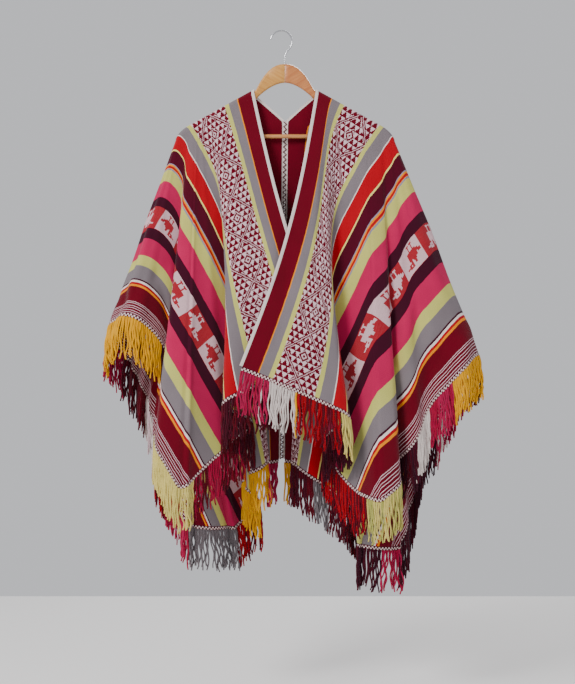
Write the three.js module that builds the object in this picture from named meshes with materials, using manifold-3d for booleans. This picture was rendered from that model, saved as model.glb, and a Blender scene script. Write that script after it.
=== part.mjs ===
// A ruana hung on a wooden clothes hanger: two long woven panels, joined down the centre back and open
// down the front, with the right front lying over the left. Millimetres, +Z up, the front faces -Y.
// The origin is inside the crown of the hanger's hook, where a rail or nail holds it.
import * as THREE from "three";
import ManifoldModule from "manifold-3d";

const wasm = await ManifoldModule();
wasm.setup();
const { Manifold, Mesh: ManifoldMesh } = wasm;

// ---- Cloth and what is sewn to it -------------------------------------------------------------------
const CLOTH = 2.4; // thickness of the woven wall
const SEAM_GAP = 0.3; // between pieces that are sewn to each other
const BINDING_WIDTH = 6; // pale binding round each neck edge
const BAND_WIDTH = 9; // checked heading that carries the fringe
const PINCH = 0.25; // share of the heading's width that is left in a sharp bend
const LOCK_LENGTH = 84; // free length of one lock of fringe
const LOCK_SPACING = 24; // between the middles of two locks
const LOCK_WIDTH = 8;
const BARE_REACH = 30; // no lock this close to a sharp bend of the rim
const LOCK_TIP = 0.45; // width of a lock's end, as a share of its root
const LOCK_BELLY = 1.5; // how much thicker a lock is at its belly than at its root
const LOCK_BELLY_AT = 0.45; // share of the length at which the belly comes
const LOCK_BELLY_OUT = 3; // how far the belly stands out from the straight way down
const LOCK_SWAY = 0.1;
const LOCK_SCATTER = 0.12; // how much the lengths differ, as a share of the length
const LOCK_OUT = 0.5; // weights of the cloth's own direction and of straight down in a lock's way
const LOCK_DOWN = 0.85;
const LOCK_EASE = 1; // cloth left between a lock and the end of its straight stretch

// ---- Shoulder line that the cloth hangs from --------------------------------------------------------
const CENTRE_X = 6; // middle of the hanger, to the right of the hook's crown
const NECK_HALF = 69; // from the middle to where a panel starts on the shoulder
const NECK_Z = -124;
const SHOULDER_SLOPE = THREE.MathUtils.degToRad(29);
const STRAIGHT_RUN = 150; // cloth that lies on the straight of the arm
const TIP_TURN = THREE.MathUtils.degToRad(42); // further drop of the cloth past the tip
const TIP_TURN_RUN = 45;
const TIP_STEPS = 12;

// ---- Hanger -----------------------------------------------------------------------------------------
const ARM_THICKNESS = 13;
const CROWN_Z = -67; // top of the wood at the middle
const CROWN_POWER = 2.3; // roundness of the wood's top about the mitre
const ARCH_POWER = 1.8; // roundness of the arch beneath it
const CROWN_STEPS = 7;
const MITRE_FOOT_Z = -106; // underside of the wood at the middle
const ARM_HEIGHT_NECK = 19;
const ARM_HEIGHT_TIP = 27;
const WOOD_START = -10; // where the wood's top joins the shoulder line, short of the neck
const WOOD_GAP = 0.5; // between the wood and the cloth on it
const ARM_REACH = 160; // along the shoulder line, from the neck to the tip
// Sections of an arm: the run along the shoulder line, and the share of the full size there.
const ARM_SECTIONS = [
  [WOOD_START, 1],
  [0, 1],
  [50, 1],
  [100, 1],
  [140, 1],
  [155, 0.9],
  [ARM_REACH, 0.7],
];
const ARM_FOOT_HALF = 4.6; // half thickness at the underside
const BAR_RADIUS = 4.25;
const BAR_Z = -217;
const BAR_SINK = 12; // how far each end of the bar goes into its arm
const WIRE_RADIUS = 1.6;
const HOOK_RADIUS = 22.5;
const HOOK_CENTRE_X = -1.5;
const HOOK_TURNS = [168, 145, 120, 95, 70, 45, 20, -5, -30, -50]; // degrees round the loop
const HOOK_SIDES = 8;
const HOOK_STEPS = 34;
const NECK_OF_HOOK = [[0.6, 18], [0, 8]]; // the bend into the stem: aside, and above the wood
const STEM_SINK = 14; // wire inside the wood
const ROUND_SIDES = 14;

// ---- Drape ------------------------------------------------------------------------------------------
// Cloth lies over the arm on a half circle, so that it just clears the wood.
const CREST_RADIUS = ARM_THICKNESS / 2 + SEAM_GAP + CLOTH / 2;
const SHARED_ARC = 0.2; // share of the crest's radius where the cloth has left the arm
const MERGED = 0.99; // two neighbouring folds whose softness reaches this share their straight stretch
const FLARE = 1.4; // power with which a fold leaves the shoulder plane
const COLLAR = 0.07; // share of the back length over which the neck edge slants in to the seam
const SEAM_TOP_X = 7.1;
const SEAM_HALF = BINDING_WIDTH + SEAM_GAP * 1.5; // from the seam to the edge of a back panel
const LEVELS = [0.07, 0.134, 0.28, 0.46, 0.64, 0.82, 1]; // rings of points down the hang
const ARC_STEPS = 2;
const ROUND_STEPS = 4; // points round each fold, an even number

// Each row is a ridge or a valley that runs from the shoulder line to the rim of the cloth.
// top: its start along the shoulder line; soft: roundness of the fold, 0.5 is round all the way;
// x, y, z: where it meets the rim;
// bowX, bowZ: its sag half way down; pull: how far the neck edge is drawn in to the back seam;
// bare: 1 where the rim turns back so sharply that no lock hangs by the bend.
const COLUMNS = ["name", "top", "soft", "x", "y", "z", "bowX", "bowZ", "pull", "bare"];
const RIGHT_FRONT = [
  ["inner", 0, 0, -79, -78, -692, 18, -6, 0, 0],
  ["flap_middle", 14, 0.5, 2, -80, -723, 18, -4, 0, 0],
  ["flap_edge", 30, 0.22, 148, -66, -790, -25, 0, 0, 0],
  ["flap_valley", 62, 0.4, 72, 42, -845, 0, 0, 0, 1],
  ["lobe_edge", 92, 0.4, 144, -4, -943, 0, 0, 0, 0],
  ["corner", 115, 0.15, 199, -62, -960, 0, 0, 0, 0],
  ["lobe_side", 140, 0.22, 244, -45, -924, 0, 0, 0, 0],
  ["side_valley", 154, 0.4, 232, 14, -891, 0, 0, 0, 1],
  ["wing_ridge", 166, 0.5, 275, -32, -846, 0, -6, 0, 0],
  ["wing_valley", 172, 0.5, 300, -8, -771, 0, 0, 0, 0],
  ["wing_front", 178, 0.5, 348, -32, -717, 0, -6, 0, 0],
  ["outline", 184, 0.5, 397, -14, -661, 0, 0, 0, 0],
  ["shoulder", 190, 0.5, 406, 34, -668, 4, 0, 0, 0],
];
const RIGHT_BACK = [
  ["inner", 0, 0, 5.6, 112, -895, 0, 0, 1, 0],
  ["flap_middle", 14, 0.5, 42, 96, -898, 0, 0, 0.8, 0],
  ["flap_edge", 30, 0.22, 10, 62, -889, 0, 0, 0.6, 1],
  ["flap_valley", 62, 0.4, 135, 62, -974, 0, 0, 0.2, 0],
  ["lobe_edge", 92, 0.4, 170, 100, -1028, 0, 0, 0, 1],
  ["corner", 115, 0.15, 158, 60, -1071, 0, 0, 0, 0],
  ["lobe_side", 140, 0.22, 253, 62, -1080, 0, 0, 0, 0],
  ["side_valley", 154, 0.4, 285, 104, -970, 0, 0, 0, 1],
  ["wing_ridge", 166, 0.5, 285, 62, -887, 0, 0, 0, 0],
  ["wing_valley", 172, 0.5, 331, 98, -815, 0, 0, 0, 0],
  ["wing_front", 178, 0.5, 360, 70, -732, 0, 0, 0, 0],
  ["outline", 184, 0.5, 385, 90, -697, 0, 0, 0, 0],
];
const LEFT_FRONT = [
  ["inner", 0, 0, 100, -44, -684, -14, 0, 0, 0],
  ["flap_middle", 40, 0.5, 2, -48, -705, 0, 0, 0, 0],
  ["flap_edge", 88, 0.36, -141, -60, -765, 17, 0, 0, 0],
  ["flap_valley", 104, 0.46, -48, 42, -804, 0, 0, 0, 1],
  ["lobe_edge", 118, 0.4, -98, 18, -835, 0, 0, 0, 0],
  ["corner", 130, 0.15, -205, -58, -939, 0, 0, 0, 0],
  ["lobe_side", 140, 0.22, -263, -45, -841, 0, 0, 0, 0],
  ["side_valley", 154, 0.4, -225, 24, -711, 0, 0, 0, 1],
  ["wing_ridge", 163, 0.5, -246, 6, -640, 0, 0, 0, 0],
  ["wing_valley", 169, 0.5, -275, -14, -603, 0, 0, 0, 0],
  ["wing_front", 175, 0.5, -311, -30, -579, 0, -4, 0, 0],
  ["outline", 181, 0.5, -339, -4, -585, 0, 0, 0, 0],
  ["shoulder", 187, 0.5, -362, 44, -624, 0, 0, 0, 0],
];
const LEFT_BACK = [
  ["inner", 0, 0, -7.6, 112, -895, 0, 0, 1, 0],
  ["flap_middle", 40, 0.5, -40, 96, -898, 0, 0, 0.5, 0],
  ["flap_edge", 88, 0.36, -8, 62, -885, 0, 0, 0.3, 1],
  ["flap_valley", 104, 0.46, -104, 56, -935, 0, 0, 0.1, 1],
  ["lobe_edge", 118, 0.4, -40, 108, -986, -40, 0, 0, 1],
  ["corner", 130, 0.15, -104, 100, -1040, -34, 0, 0, 0],
  ["lobe_side", 140, 0.22, -203, 64, -1032, 0, 0, 0, 0],
  ["side_valley", 154, 0.4, -228, 104, -970, 0, 0, 0, 1],
  ["wing_ridge", 163, 0.5, -273, 60, -887, 0, 0, 0, 0],
  ["wing_valley", 169, 0.5, -277, 98, -784, 0, 0, 0, 0],
  ["wing_front", 175, 0.5, -319, 70, -690, 0, 0, 0, 0],
  ["outline", 181, 0.5, -348, 92, -651, 0, 0, 0, 0],
];

const FINISHES = {
  rightCloth: { color: 0x8f2038, roughness: 0.95, metalness: 0 },
  leftCloth: { color: 0xa02a4a, roughness: 0.95, metalness: 0 },
  binding: { color: 0xe6dcd6, roughness: 0.95, metalness: 0 },
  fringe: { color: 0xc23060, roughness: 0.95, metalness: 0 },
  goldFringe: { color: 0xe0a015, roughness: 0.95, metalness: 0 },
  wood: { color: 0xc98a4a, roughness: 0.45, metalness: 0 },
  wire: { color: 0xb8b8b8, roughness: 0.3, metalness: 0.9 },
};

const DOWN = new THREE.Vector3(0, 0, -1);
const readRow = (row) => Object.fromEntries(COLUMNS.map((column, i) => [column, row[i]]));
const vec = (x, y, z) => new THREE.Vector3(x, y, z);
const mix = (a, b, share) => a.clone().lerp(b, share);

/** Repeatable scatter in -1..1 for the lock with this number. */
function scatter(number) {
  const wave = Math.sin(number * 12.9898) * 43758.5453;
  return 2 * (wave - Math.floor(wave)) - 1;
}

/** Point of the shoulder line, this far from the neck; hand is 1 for the wearer's left, -1 for the other. */
function crestPoint(run, hand) {
  const straight = Math.min(run, STRAIGHT_RUN);
  let x = straight * Math.cos(SHOULDER_SLOPE);
  let z = -straight * Math.sin(SHOULDER_SLOPE);
  const step = Math.max(run - STRAIGHT_RUN, 0) / TIP_STEPS;
  for (let i = 0; i < TIP_STEPS; i += 1) {
    const angle = crestSlope(STRAIGHT_RUN + (i + 0.5) * step);
    x += step * Math.cos(angle);
    z -= step * Math.sin(angle);
  }
  return vec(CENTRE_X + hand * (NECK_HALF + x), 0, NECK_Z + z);
}

/** Slope of the shoulder line, this far from the neck. */
function crestSlope(run) {
  const past = Math.min(Math.max(run - STRAIGHT_RUN, 0) / TIP_TURN_RUN, 1);
  return SHOULDER_SLOPE + TIP_TURN * past;
}

/** Points of one fold line, from the shoulder line to the rim; face is -1 for the front, 1 for the back. */
function foldLine(fold, hand, face) {
  const crest = crestPoint(fold.top, hand);
  const shared = fold.name === "shoulder";
  const radius = shared ? CREST_RADIUS * SHARED_ARC : CREST_RADIUS;
  const start = crest.clone().add(vec(0, shared ? 0 : face * radius, -radius));
  const end = vec(fold.x, fold.y, fold.z);
  const points = [];
  for (let i = 0; i <= ARC_STEPS; i += 1) {
    const angle = ((i / ARC_STEPS) * Math.PI) / 2;
    const swing = vec(0, face * radius * Math.sin(angle), -radius * (1 - Math.cos(angle)));
    points.push(shared ? mix(crest, start, i / ARC_STEPS) : crest.clone().add(swing));
  }
  const seamX = SEAM_TOP_X + hand * SEAM_HALF;
  const pull = fold.pull * (crestPoint(0, hand).x - seamX);
  for (const level of LEVELS) {
    const point = mix(start, end, level);
    const sag = Math.sin(Math.PI * level);
    point.y = start.y + (end.y - start.y) * level ** FLARE;
    point.x += fold.bowX * sag - pull * (1 - level) * Math.min(1, level / COLLAR);
    point.z += fold.bowZ * sag;
    points.push(point);
  }
  return points;
}

/** Rounds the zigzag through the fold points of one level into a soft section. */
function roundSection(corners, softness) {
  const points = [corners[0].clone()];
  let lastSoft = 0;
  for (let i = 1; i < corners.length - 1; i += 1) {
    const soft = softness[i];
    const before = mix(corners[i], corners[i - 1], soft);
    const after = mix(corners[i], corners[i + 1], soft);
    if (soft + lastSoft < MERGED) {
      points.push(before);
    }
    for (let k = 1; k <= ROUND_STEPS; k += 1) {
      const share = k / ROUND_STEPS;
      points.push(mix(mix(before, corners[i], share), mix(corners[i], after, share), share));
    }
    lastSoft = soft;
  }
  points.push(corners[corners.length - 1].clone());
  return points;
}

/** Middle surface of one panel: rings of points from the shoulder line to the rim. */
function drapePanel(frontRows, backRows, hand) {
  const front = frontRows.map(readRow);
  const back = backRows.map(readRow).reverse();
  const lines = [
    ...front.map((fold) => foldLine(fold, hand, -1)),
    ...back.map((fold) => foldLine(fold, hand, 1)),
  ];
  const softness = [...front, ...back].map((fold) => fold.soft);
  const rings = lines[0].map((_, level) => roundSection(lines.map((line) => line[level]), softness));
  return { rings, columns: rings[0].length };
}

/** Number of the column that holds the fold with this number, in a section of roundSection. */
function columnOfFold(softness, number) {
  let column = 0;
  let lastSoft = 0;
  for (let i = 1; i <= number; i += 1) {
    column += softness[i] + lastSoft < MERGED ? 1 + ROUND_STEPS : ROUND_STEPS;
    lastSoft = softness[i];
  }
  return column - ROUND_STEPS / 2;
}

/** Columns in the bends of the deep folds. */
function bareColumns(folds, softness) {
  const bare = new Set();
  folds.forEach((fold, number) => {
    if (fold.bare) {
      const middle = columnOfFold(softness, number);
      for (let step = -ROUND_STEPS / 2; step <= ROUND_STEPS / 2; step += 1) {
        bare.add(middle + step);
      }
    }
  });
  return bare;
}

/** Unit normals of the middle surface, pointing out of the garment. */
function panelNormals(rings, hand) {
  const columns = rings[0].length;
  const middle = (columns - 1) / 2;
  return rings.map((ring, level) =>
    ring.map((point, column) => {
      const across = ring[Math.min(column + 1, columns - 1)]
        .clone()
        .sub(ring[Math.max(column - 1, 0)]);
      if (level === 0) {
        const inward = ring[Math.max(Math.min(column, columns - 1 - column) - 1, 0)];
        const outward = ring[Math.min(Math.min(column, columns - 1 - column) + 1, middle)];
        const run = outward.clone().sub(inward);
        return vec(-run.z * hand, 0, run.x * hand).normalize();
      }
      const above = rings[level - 1][column];
      const below = rings[Math.min(level + 1, rings.length - 1)][column];
      const normal = across.cross(below.clone().sub(above)).normalize();
      return normal.multiplyScalar(-hand);
    }),
  );
}

/** Adds a quad to a list of triangles, turned over when asked. */
function pushQuad(faces, a, b, c, d, flip) {
  if (flip) {
    faces.push([a, c, b], [a, d, c]);
  } else {
    faces.push([a, b, c], [a, c, d]);
  }
}

/** Closed geometry from points and triangles. */
function solidGeometry(points, faces) {
  const geometry = new THREE.BufferGeometry();
  const flat = points.flatMap((point) => [point.x, point.y, point.z]);
  geometry.setAttribute("position", new THREE.Float32BufferAttribute(flat, 3));
  geometry.setIndex(faces.flat());
  geometry.computeVertexNormals();
  return geometry;
}

/** Closed wall of the cloth's thickness about a panel's middle surface. */
function panelGeometry(rings, normals, hand) {
  const columns = rings[0].length;
  const points = [];
  const outer = [];
  const inner = [];
  rings.forEach((ring, level) => {
    outer.push([]);
    inner.push([]);
    ring.forEach((point, column) => {
      const twin = columns - 1 - column;
      if (level === 0 && twin < column) {
        outer[0].push(outer[0][twin]);
        inner[0].push(inner[0][twin]);
        return;
      }
      const step = normals[level][column].clone().multiplyScalar(CLOTH / 2);
      outer[level].push(points.push(point.clone().add(step)) - 1);
      inner[level].push(points.push(point.clone().sub(step)) - 1);
    });
  });
  const faces = [];
  const flip = hand < 0;
  const last = rings.length - 1;
  for (let level = 0; level < last; level += 1) {
    const below = level + 1;
    for (let column = 0; column < columns - 1; column += 1) {
      const next = column + 1;
      for (const [side, turn] of [[outer, flip], [inner, !flip]]) {
        pushQuad(faces, side[level][column], side[below][column], side[below][next], side[level][next], turn);
      }
    }
    for (const [column, turn] of [[0, flip], [columns - 1, !flip]]) {
      const [upper, lower] = [level, below].map((i) => [outer[i][column], inner[i][column]]);
      pushQuad(faces, upper[0], upper[1], lower[1], lower[0], turn);
    }
  }
  for (let column = 0; column < columns - 1; column += 1) {
    const next = column + 1;
    pushQuad(faces, outer[last][column], inner[last][column], inner[last][next], outer[last][next], flip);
  }
  return solidGeometry(points, faces);
}

/** Closed bar through stations of four points each. */
function stripFaces(stations, points, faces, flip, openUndersides) {
  const index = stations.map((station) => station.map((point) => points.push(point) - 1));
  for (let i = 0; i < index.length - 1; i += 1) {
    for (let side = 0; side < 4; side += 1) {
      if (side === 1 && openUndersides.has(i)) {
        continue;
      }
      const next = (side + 1) % 4;
      pushQuad(faces, index[i][next], index[i][side], index[i + 1][side], index[i + 1][next], flip);
    }
  }
  const [first, last] = [index[0], index[index.length - 1]];
  pushQuad(faces, first[0], first[1], first[2], first[3], flip);
  pushQuad(faces, last[3], last[2], last[1], last[0], flip);
  return index;
}

/** Four corners of a strip beside an edge: from near to far along out, half a wall each side. */
function stripStation(edge, near, far) {
  const half = edge.normal.clone().multiplyScalar(CLOTH / 2);
  const from = edge.point.clone().addScaledVector(edge.out, near);
  const to = edge.point.clone().addScaledVector(edge.out, far);
  return [from.clone().add(half), to.clone().add(half), to.sub(half), from.sub(half)];
}

/** Binding along the whole neck edge, from the front hem over the shoulder to the back hem. */
function bindingGeometry(rings, normals, hand) {
  const columns = rings[0].length;
  const edges = [];
  const addEdge = (level, column, neighbour) => {
    const point = rings[level][column];
    const out = point.clone().sub(rings[level][neighbour]).normalize();
    edges.push({ point, out, normal: normals[level][column] });
  };
  for (let level = rings.length - 1; level >= 0; level -= 1) {
    addEdge(level, 0, 1);
  }
  for (let level = 1; level < rings.length; level += 1) {
    addEdge(level, columns - 1, columns - 2);
  }
  const stations = edges.map((edge) => stripStation(edge, SEAM_GAP, SEAM_GAP + BINDING_WIDTH));
  const points = [];
  const faces = [];
  stripFaces(stations, points, faces, hand < 0, new Set());
  return solidGeometry(points, faces);
}

/** Rim of the cloth between two columns, with the way out of the cloth at each point. */
function rimEdges(rings, normals, bare, from, to) {
  const ring = rings[rings.length - 1];
  const above = rings[rings.length - 2];
  const edges = [];
  for (let column = from; column <= to; column += 1) {
    const along = ring[Math.min(column + 1, ring.length - 1)].clone().sub(ring[Math.max(column - 1, 0)]);
    along.normalize();
    const out = ring[column].clone().sub(above[column]).normalize();
    out.addScaledVector(along, -out.dot(along)).normalize();
    const normal = normals[rings.length - 1][column];
    edges.push({ point: ring[column].clone(), out, normal, bare: bare.has(column) });
  }
  const shorten = (end, next) => end.point.addScaledVector(
    next.point.clone().sub(end.point).normalize(), SEAM_GAP / 2);
  shorten(edges[0], edges[1]);
  shorten(edges[edges.length - 1], edges[edges.length - 2]);
  return edges;
}

/** Edge part of the way between two others. */
function edgeBetween(a, b, share) {
  return {
    point: mix(a.point, b.point, share),
    out: mix(a.out, b.out, share),
    normal: mix(a.normal, b.normal, share),
    bare: a.bare && b.bare,
  };
}

/** Rim with a place for each lock: the edges, and the numbers of the stretches that carry a lock. */
function placeLocks(edges) {
  const places = [edges[0]];
  const lockStretches = new Set();
  let sinceLock = LOCK_SPACING / 2;
  for (let i = 0; i < edges.length - 1; i += 1) {
    const length = edges[i].point.distanceTo(edges[i + 1].point);
    let cursor = 0;
    while (sinceLock + length - cursor >= LOCK_SPACING) {
      const middle = Math.max(cursor + LOCK_SPACING - sinceLock, cursor + LOCK_WIDTH / 2 + LOCK_EASE);
      if (middle + LOCK_WIDTH / 2 + LOCK_EASE > length) {
        break;
      }
      const afterBend = edges[i].bare && (edges[i + 1].bare || middle < BARE_REACH);
      if (afterBend || (edges[i + 1].bare && length - middle < BARE_REACH)) {
        cursor = middle;
        sinceLock = LOCK_SPACING / 2;
        continue;
      }
      places.push(edgeBetween(edges[i], edges[i + 1], (middle - LOCK_WIDTH / 2) / length));
      lockStretches.add(places.length - 1);
      places.push(edgeBetween(edges[i], edges[i + 1], (middle + LOCK_WIDTH / 2) / length));
      cursor = middle + LOCK_WIDTH / 2;
      sinceLock = LOCK_WIDTH / 2;
    }
    sinceLock += length - cursor;
    places.push(edges[i + 1]);
  }
  return { places, lockStretches };
}

/** Checked heading with its fringe: locks that stand apart, each grown from the heading's lower edge. */
function fringeGeometry(rings, normals, bare, hand, from, to) {
  const { places, lockStretches } = placeLocks(rimEdges(rings, normals, bare, from, to));
  const stations = places.map((edge) => {
    const width = edge.bare ? BAND_WIDTH * PINCH : BAND_WIDTH;
    return stripStation(edge, SEAM_GAP, SEAM_GAP + width);
  });
  const points = [];
  const faces = [];
  const flip = hand > 0;
  const index = stripFaces(stations, points, faces, flip, lockStretches);
  for (const stretch of lockStretches) {
    const edge = edgeBetween(places[stretch], places[stretch + 1], 0.5);
    const along = places[stretch + 1].point.clone().sub(places[stretch].point).normalize();
    const root = [
      index[stretch][1],
      index[stretch + 1][1],
      index[stretch + 1][2],
      index[stretch][2],
    ];
    const middle = root.reduce((sum, i) => sum.add(points[i]), vec(0, 0, 0)).multiplyScalar(0.25);
    const number = stretch + from;
    const way = edge.out.clone().multiplyScalar(LOCK_OUT).addScaledVector(DOWN, LOCK_DOWN);
    way.addScaledVector(along, LOCK_SWAY * scatter(number)).normalize();
    const length = LOCK_LENGTH * (1 + LOCK_SCATTER * scatter(number + 0.5));
    const belly = middle.clone().addScaledVector(way, length * LOCK_BELLY_AT);
    belly.addScaledVector(edge.out, LOCK_BELLY_OUT);
    const tip = middle.clone().addScaledVector(way, length);
    const half = edge.normal.clone().multiplyScalar((CLOTH / 2) * LOCK_BELLY);
    const wide = along.clone().multiplyScalar(LOCK_WIDTH / 2);
    let above = root;
    for (const [centre, spread] of [[belly, 1], [tip, LOCK_TIP]]) {
      const corners = [[-1, 1], [1, 1], [1, -1], [-1, -1]];
      const ring = corners.map(([across, deep]) => {
        const corner = centre.clone().addScaledVector(wide, across * spread);
        return points.push(corner.addScaledVector(half, deep * spread)) - 1;
      });
      for (let side = 0; side < 4; side += 1) {
        const next = (side + 1) % 4;
        pushQuad(faces, above[side], ring[side], ring[next], above[next], !flip);
      }
      above = ring;
    }
    pushQuad(faces, above[0], above[3], above[2], above[1], !flip);
  }
  return solidGeometry(points, faces);
}

/** Solid of manifold-3d from points and triangles. */
function toManifold(points, faces) {
  return new Manifold(new ManifoldMesh({
    numProp: 3,
    vertProperties: new Float32Array(points.flatMap((point) => [point.x, point.y, point.z])),
    triVerts: new Uint32Array(faces.flat()),
  }));
}

/** three.js geometry from a solid of manifold-3d. */
function fromManifold(solid) {
  const mesh = solid.getMesh();
  const geometry = new THREE.BufferGeometry();
  const positions = new Float32Array(mesh.numVert * 3);
  for (let i = 0; i < mesh.numVert; i += 1) {
    positions.set(mesh.vertProperties.subarray(i * mesh.numProp, i * mesh.numProp + 3), i * 3);
  }
  geometry.setAttribute("position", new THREE.BufferAttribute(positions, 3));
  geometry.setIndex(new THREE.BufferAttribute(new Uint32Array(mesh.triVerts), 1));
  geometry.computeVertexNormals();
  return geometry;
}

/** Section of an arm across its length: round over the top, narrower at the foot. */
function armSection(x, top, height, scale) {
  const half = (ARM_THICKNESS / 2) * scale;
  const foot = ARM_FOOT_HALF * scale;
  const shoulder = Math.SQRT1_2;
  const bottom = top - height;
  return [
    vec(x, -half, top - half),
    vec(x, -half * shoulder, top - half * (1 - shoulder)),
    vec(x, 0, top),
    vec(x, half * shoulder, top - half * (1 - shoulder)),
    vec(x, half, top - half),
    vec(x, foot, bottom + foot / 2),
    vec(x, foot / 2, bottom),
    vec(x, -foot / 2, bottom),
    vec(x, -foot, bottom + foot / 2),
  ];
}

/** One arm of the hanger, from the mitre at the middle to its tip. */
function armSolid(hand) {
  const clear = WOOD_GAP + CLOTH / 2;
  const startX = NECK_HALF + WOOD_START * Math.cos(SHOULDER_SLOPE);
  const neckTop = crestPoint(WOOD_START, hand).z - clear / Math.cos(SHOULDER_SLOPE);
  const sections = [];
  for (let i = 0; i < CROWN_STEPS; i += 1) {
    const share = i / CROWN_STEPS;
    const top = CROWN_Z + (neckTop - CROWN_Z) * share ** CROWN_POWER;
    const foot = MITRE_FOOT_Z + (neckTop - ARM_HEIGHT_NECK - MITRE_FOOT_Z) * share ** ARCH_POWER;
    const x = CENTRE_X + hand * Math.max(startX * share, SEAM_GAP / 2);
    sections.push(armSection(x, top, top - foot, 1));
  }
  for (const [run, scale] of ARM_SECTIONS) {
    const crest = crestPoint(run, hand);
    const drop = clear / Math.cos(crestSlope(run)) + (1 - scale) * ARM_THICKNESS / 2;
    const grown = Math.min(Math.max(run / STRAIGHT_RUN, 0), 1);
    const height = (ARM_HEIGHT_NECK + (ARM_HEIGHT_TIP - ARM_HEIGHT_NECK) * grown) * scale;
    sections.push(armSection(crest.x, crest.z - drop, height, scale));
  }
  const points = sections.flat();
  const sides = sections[0].length;
  const faces = [];
  for (let i = 0; i < sections.length - 1; i += 1) {
    for (let side = 0; side < sides; side += 1) {
      const next = (side + 1) % sides;
      const near = i * sides;
      const far = near + sides;
      pushQuad(faces, near + side, far + side, far + next, near + next, hand < 0);
    }
  }
  const tip = (sections.length - 1) * sides;
  for (let side = 1; side < sides - 1; side += 1) {
    faces.push(hand < 0 ? [0, side + 1, side] : [0, side, side + 1]);
    faces.push(hand < 0 ? [tip, tip + side, tip + side + 1] : [tip, tip + side + 1, tip + side]);
  }
  return toManifold(points, faces);
}

const BAR_HALF = NECK_HALF + ARM_REACH * Math.cos(SHOULDER_SLOPE) - BAR_SINK;

/** Round rod along X for the trouser bar, or for the sockets that take it. */
function barSolid(radius, half) {
  const rod = Manifold.cylinder(2 * half, radius, radius, ROUND_SIDES, true);
  return rod.rotate([0, 90, 0]).translate([CENTRE_X, 0, BAR_Z]);
}

/** Hole in the wood for the stem of the hook. */
function stemHole() {
  const radius = WIRE_RADIUS + SEAM_GAP;
  const depth = STEM_SINK + SEAM_GAP;
  return Manifold.cylinder(2 * depth, radius, radius, ROUND_SIDES, true).translate([CENTRE_X, 0, CROWN_Z]);
}

/** Hook of round wire: an open loop whose crown's inside is at the origin, and a stem in the wood. */
function hookGeometry() {
  const centreZ = WIRE_RADIUS - HOOK_RADIUS;
  const route = HOOK_TURNS.map((degrees) => {
    const angle = THREE.MathUtils.degToRad(degrees);
    return vec(HOOK_CENTRE_X + HOOK_RADIUS * Math.cos(angle), 0, centreZ + HOOK_RADIUS * Math.sin(angle));
  });
  route.push(...NECK_OF_HOOK.map(([aside, above]) => vec(CENTRE_X + aside, 0, CROWN_Z + above)));
  route.push(vec(CENTRE_X, 0, CROWN_Z - STEM_SINK));
  const section = new THREE.Shape();
  section.absarc(0, 0, WIRE_RADIUS, 0, 2 * Math.PI);
  return new THREE.ExtrudeGeometry(section, {
    extrudePath: new THREE.CatmullRomCurve3(route),
    steps: HOOK_STEPS,
    curveSegments: HOOK_SIDES / 2,
    bevelEnabled: false,
  });
}

const ruana = new THREE.Group();

/** Adds a named piece in its finish. */
function addPiece(name, geometry, finish) {
  const piece = new THREE.Mesh(geometry, new THREE.MeshStandardMaterial(FINISHES[finish]));
  piece.name = name;
  ruana.add(piece);
}

const PANELS = [
  { side: "right", hand: 1, front: RIGHT_FRONT, back: RIGHT_BACK, finish: "rightCloth" },
  { side: "left", hand: -1, front: LEFT_FRONT, back: LEFT_BACK, finish: "leftCloth" },
];
const FRONT_CORNER = 5; // the fold that ends at the front corner of the cloth
const BACK_CORNER = 18;

for (const { side, hand, front, back, finish } of PANELS) {
  const { rings, columns } = drapePanel(front, back, hand);
  const normals = panelNormals(rings, hand);
  const folds = [...front, ...back.slice().reverse()].map(readRow);
  const softness = folds.map((fold) => fold.soft);
  const frontCorner = columnOfFold(softness, FRONT_CORNER);
  const backCorner = columnOfFold(softness, BACK_CORNER);
  const shoulder = (columns - 1) / 2;
  const bare = bareColumns(folds, softness);
  addPiece(`${side}_panel`, panelGeometry(rings, normals, hand), finish);
  addPiece(`${side}_neck_binding`, bindingGeometry(rings, normals, hand), "binding");
  const runs = [
    ["front_hem", 0, frontCorner, "fringe"],
    ["front_side", frontCorner, shoulder, "goldFringe"],
    ["back_side", shoulder, backCorner, "fringe"],
    ["back_hem", backCorner, columns - 1, "goldFringe"],
  ];
  for (const [name, from, to, colour] of runs) {
    addPiece(`${side}_${name}_fringe`, fringeGeometry(rings, normals, bare, hand, from, to), colour);
  }
}

const sockets = Manifold.union([barSolid(BAR_RADIUS + SEAM_GAP, BAR_HALF + SEAM_GAP), stemHole()]);
addPiece("hanger_arm_right", fromManifold(armSolid(1).subtract(sockets)), "wood");
addPiece("hanger_arm_left", fromManifold(armSolid(-1).subtract(sockets)), "wood");
addPiece("trouser_bar", fromManifold(barSolid(BAR_RADIUS, BAR_HALF)), "wood");
addPiece("hook", hookGeometry(), "wire");

export default ruana;
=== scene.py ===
"""A ruana on a wooden clothes hanger: two striped, fringed wool panels joined down the centre back."""
import logging
import math
import random
from dataclasses import dataclass, field
from enum import Enum
from typing import Any, Iterable, Optional, Sequence

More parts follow.
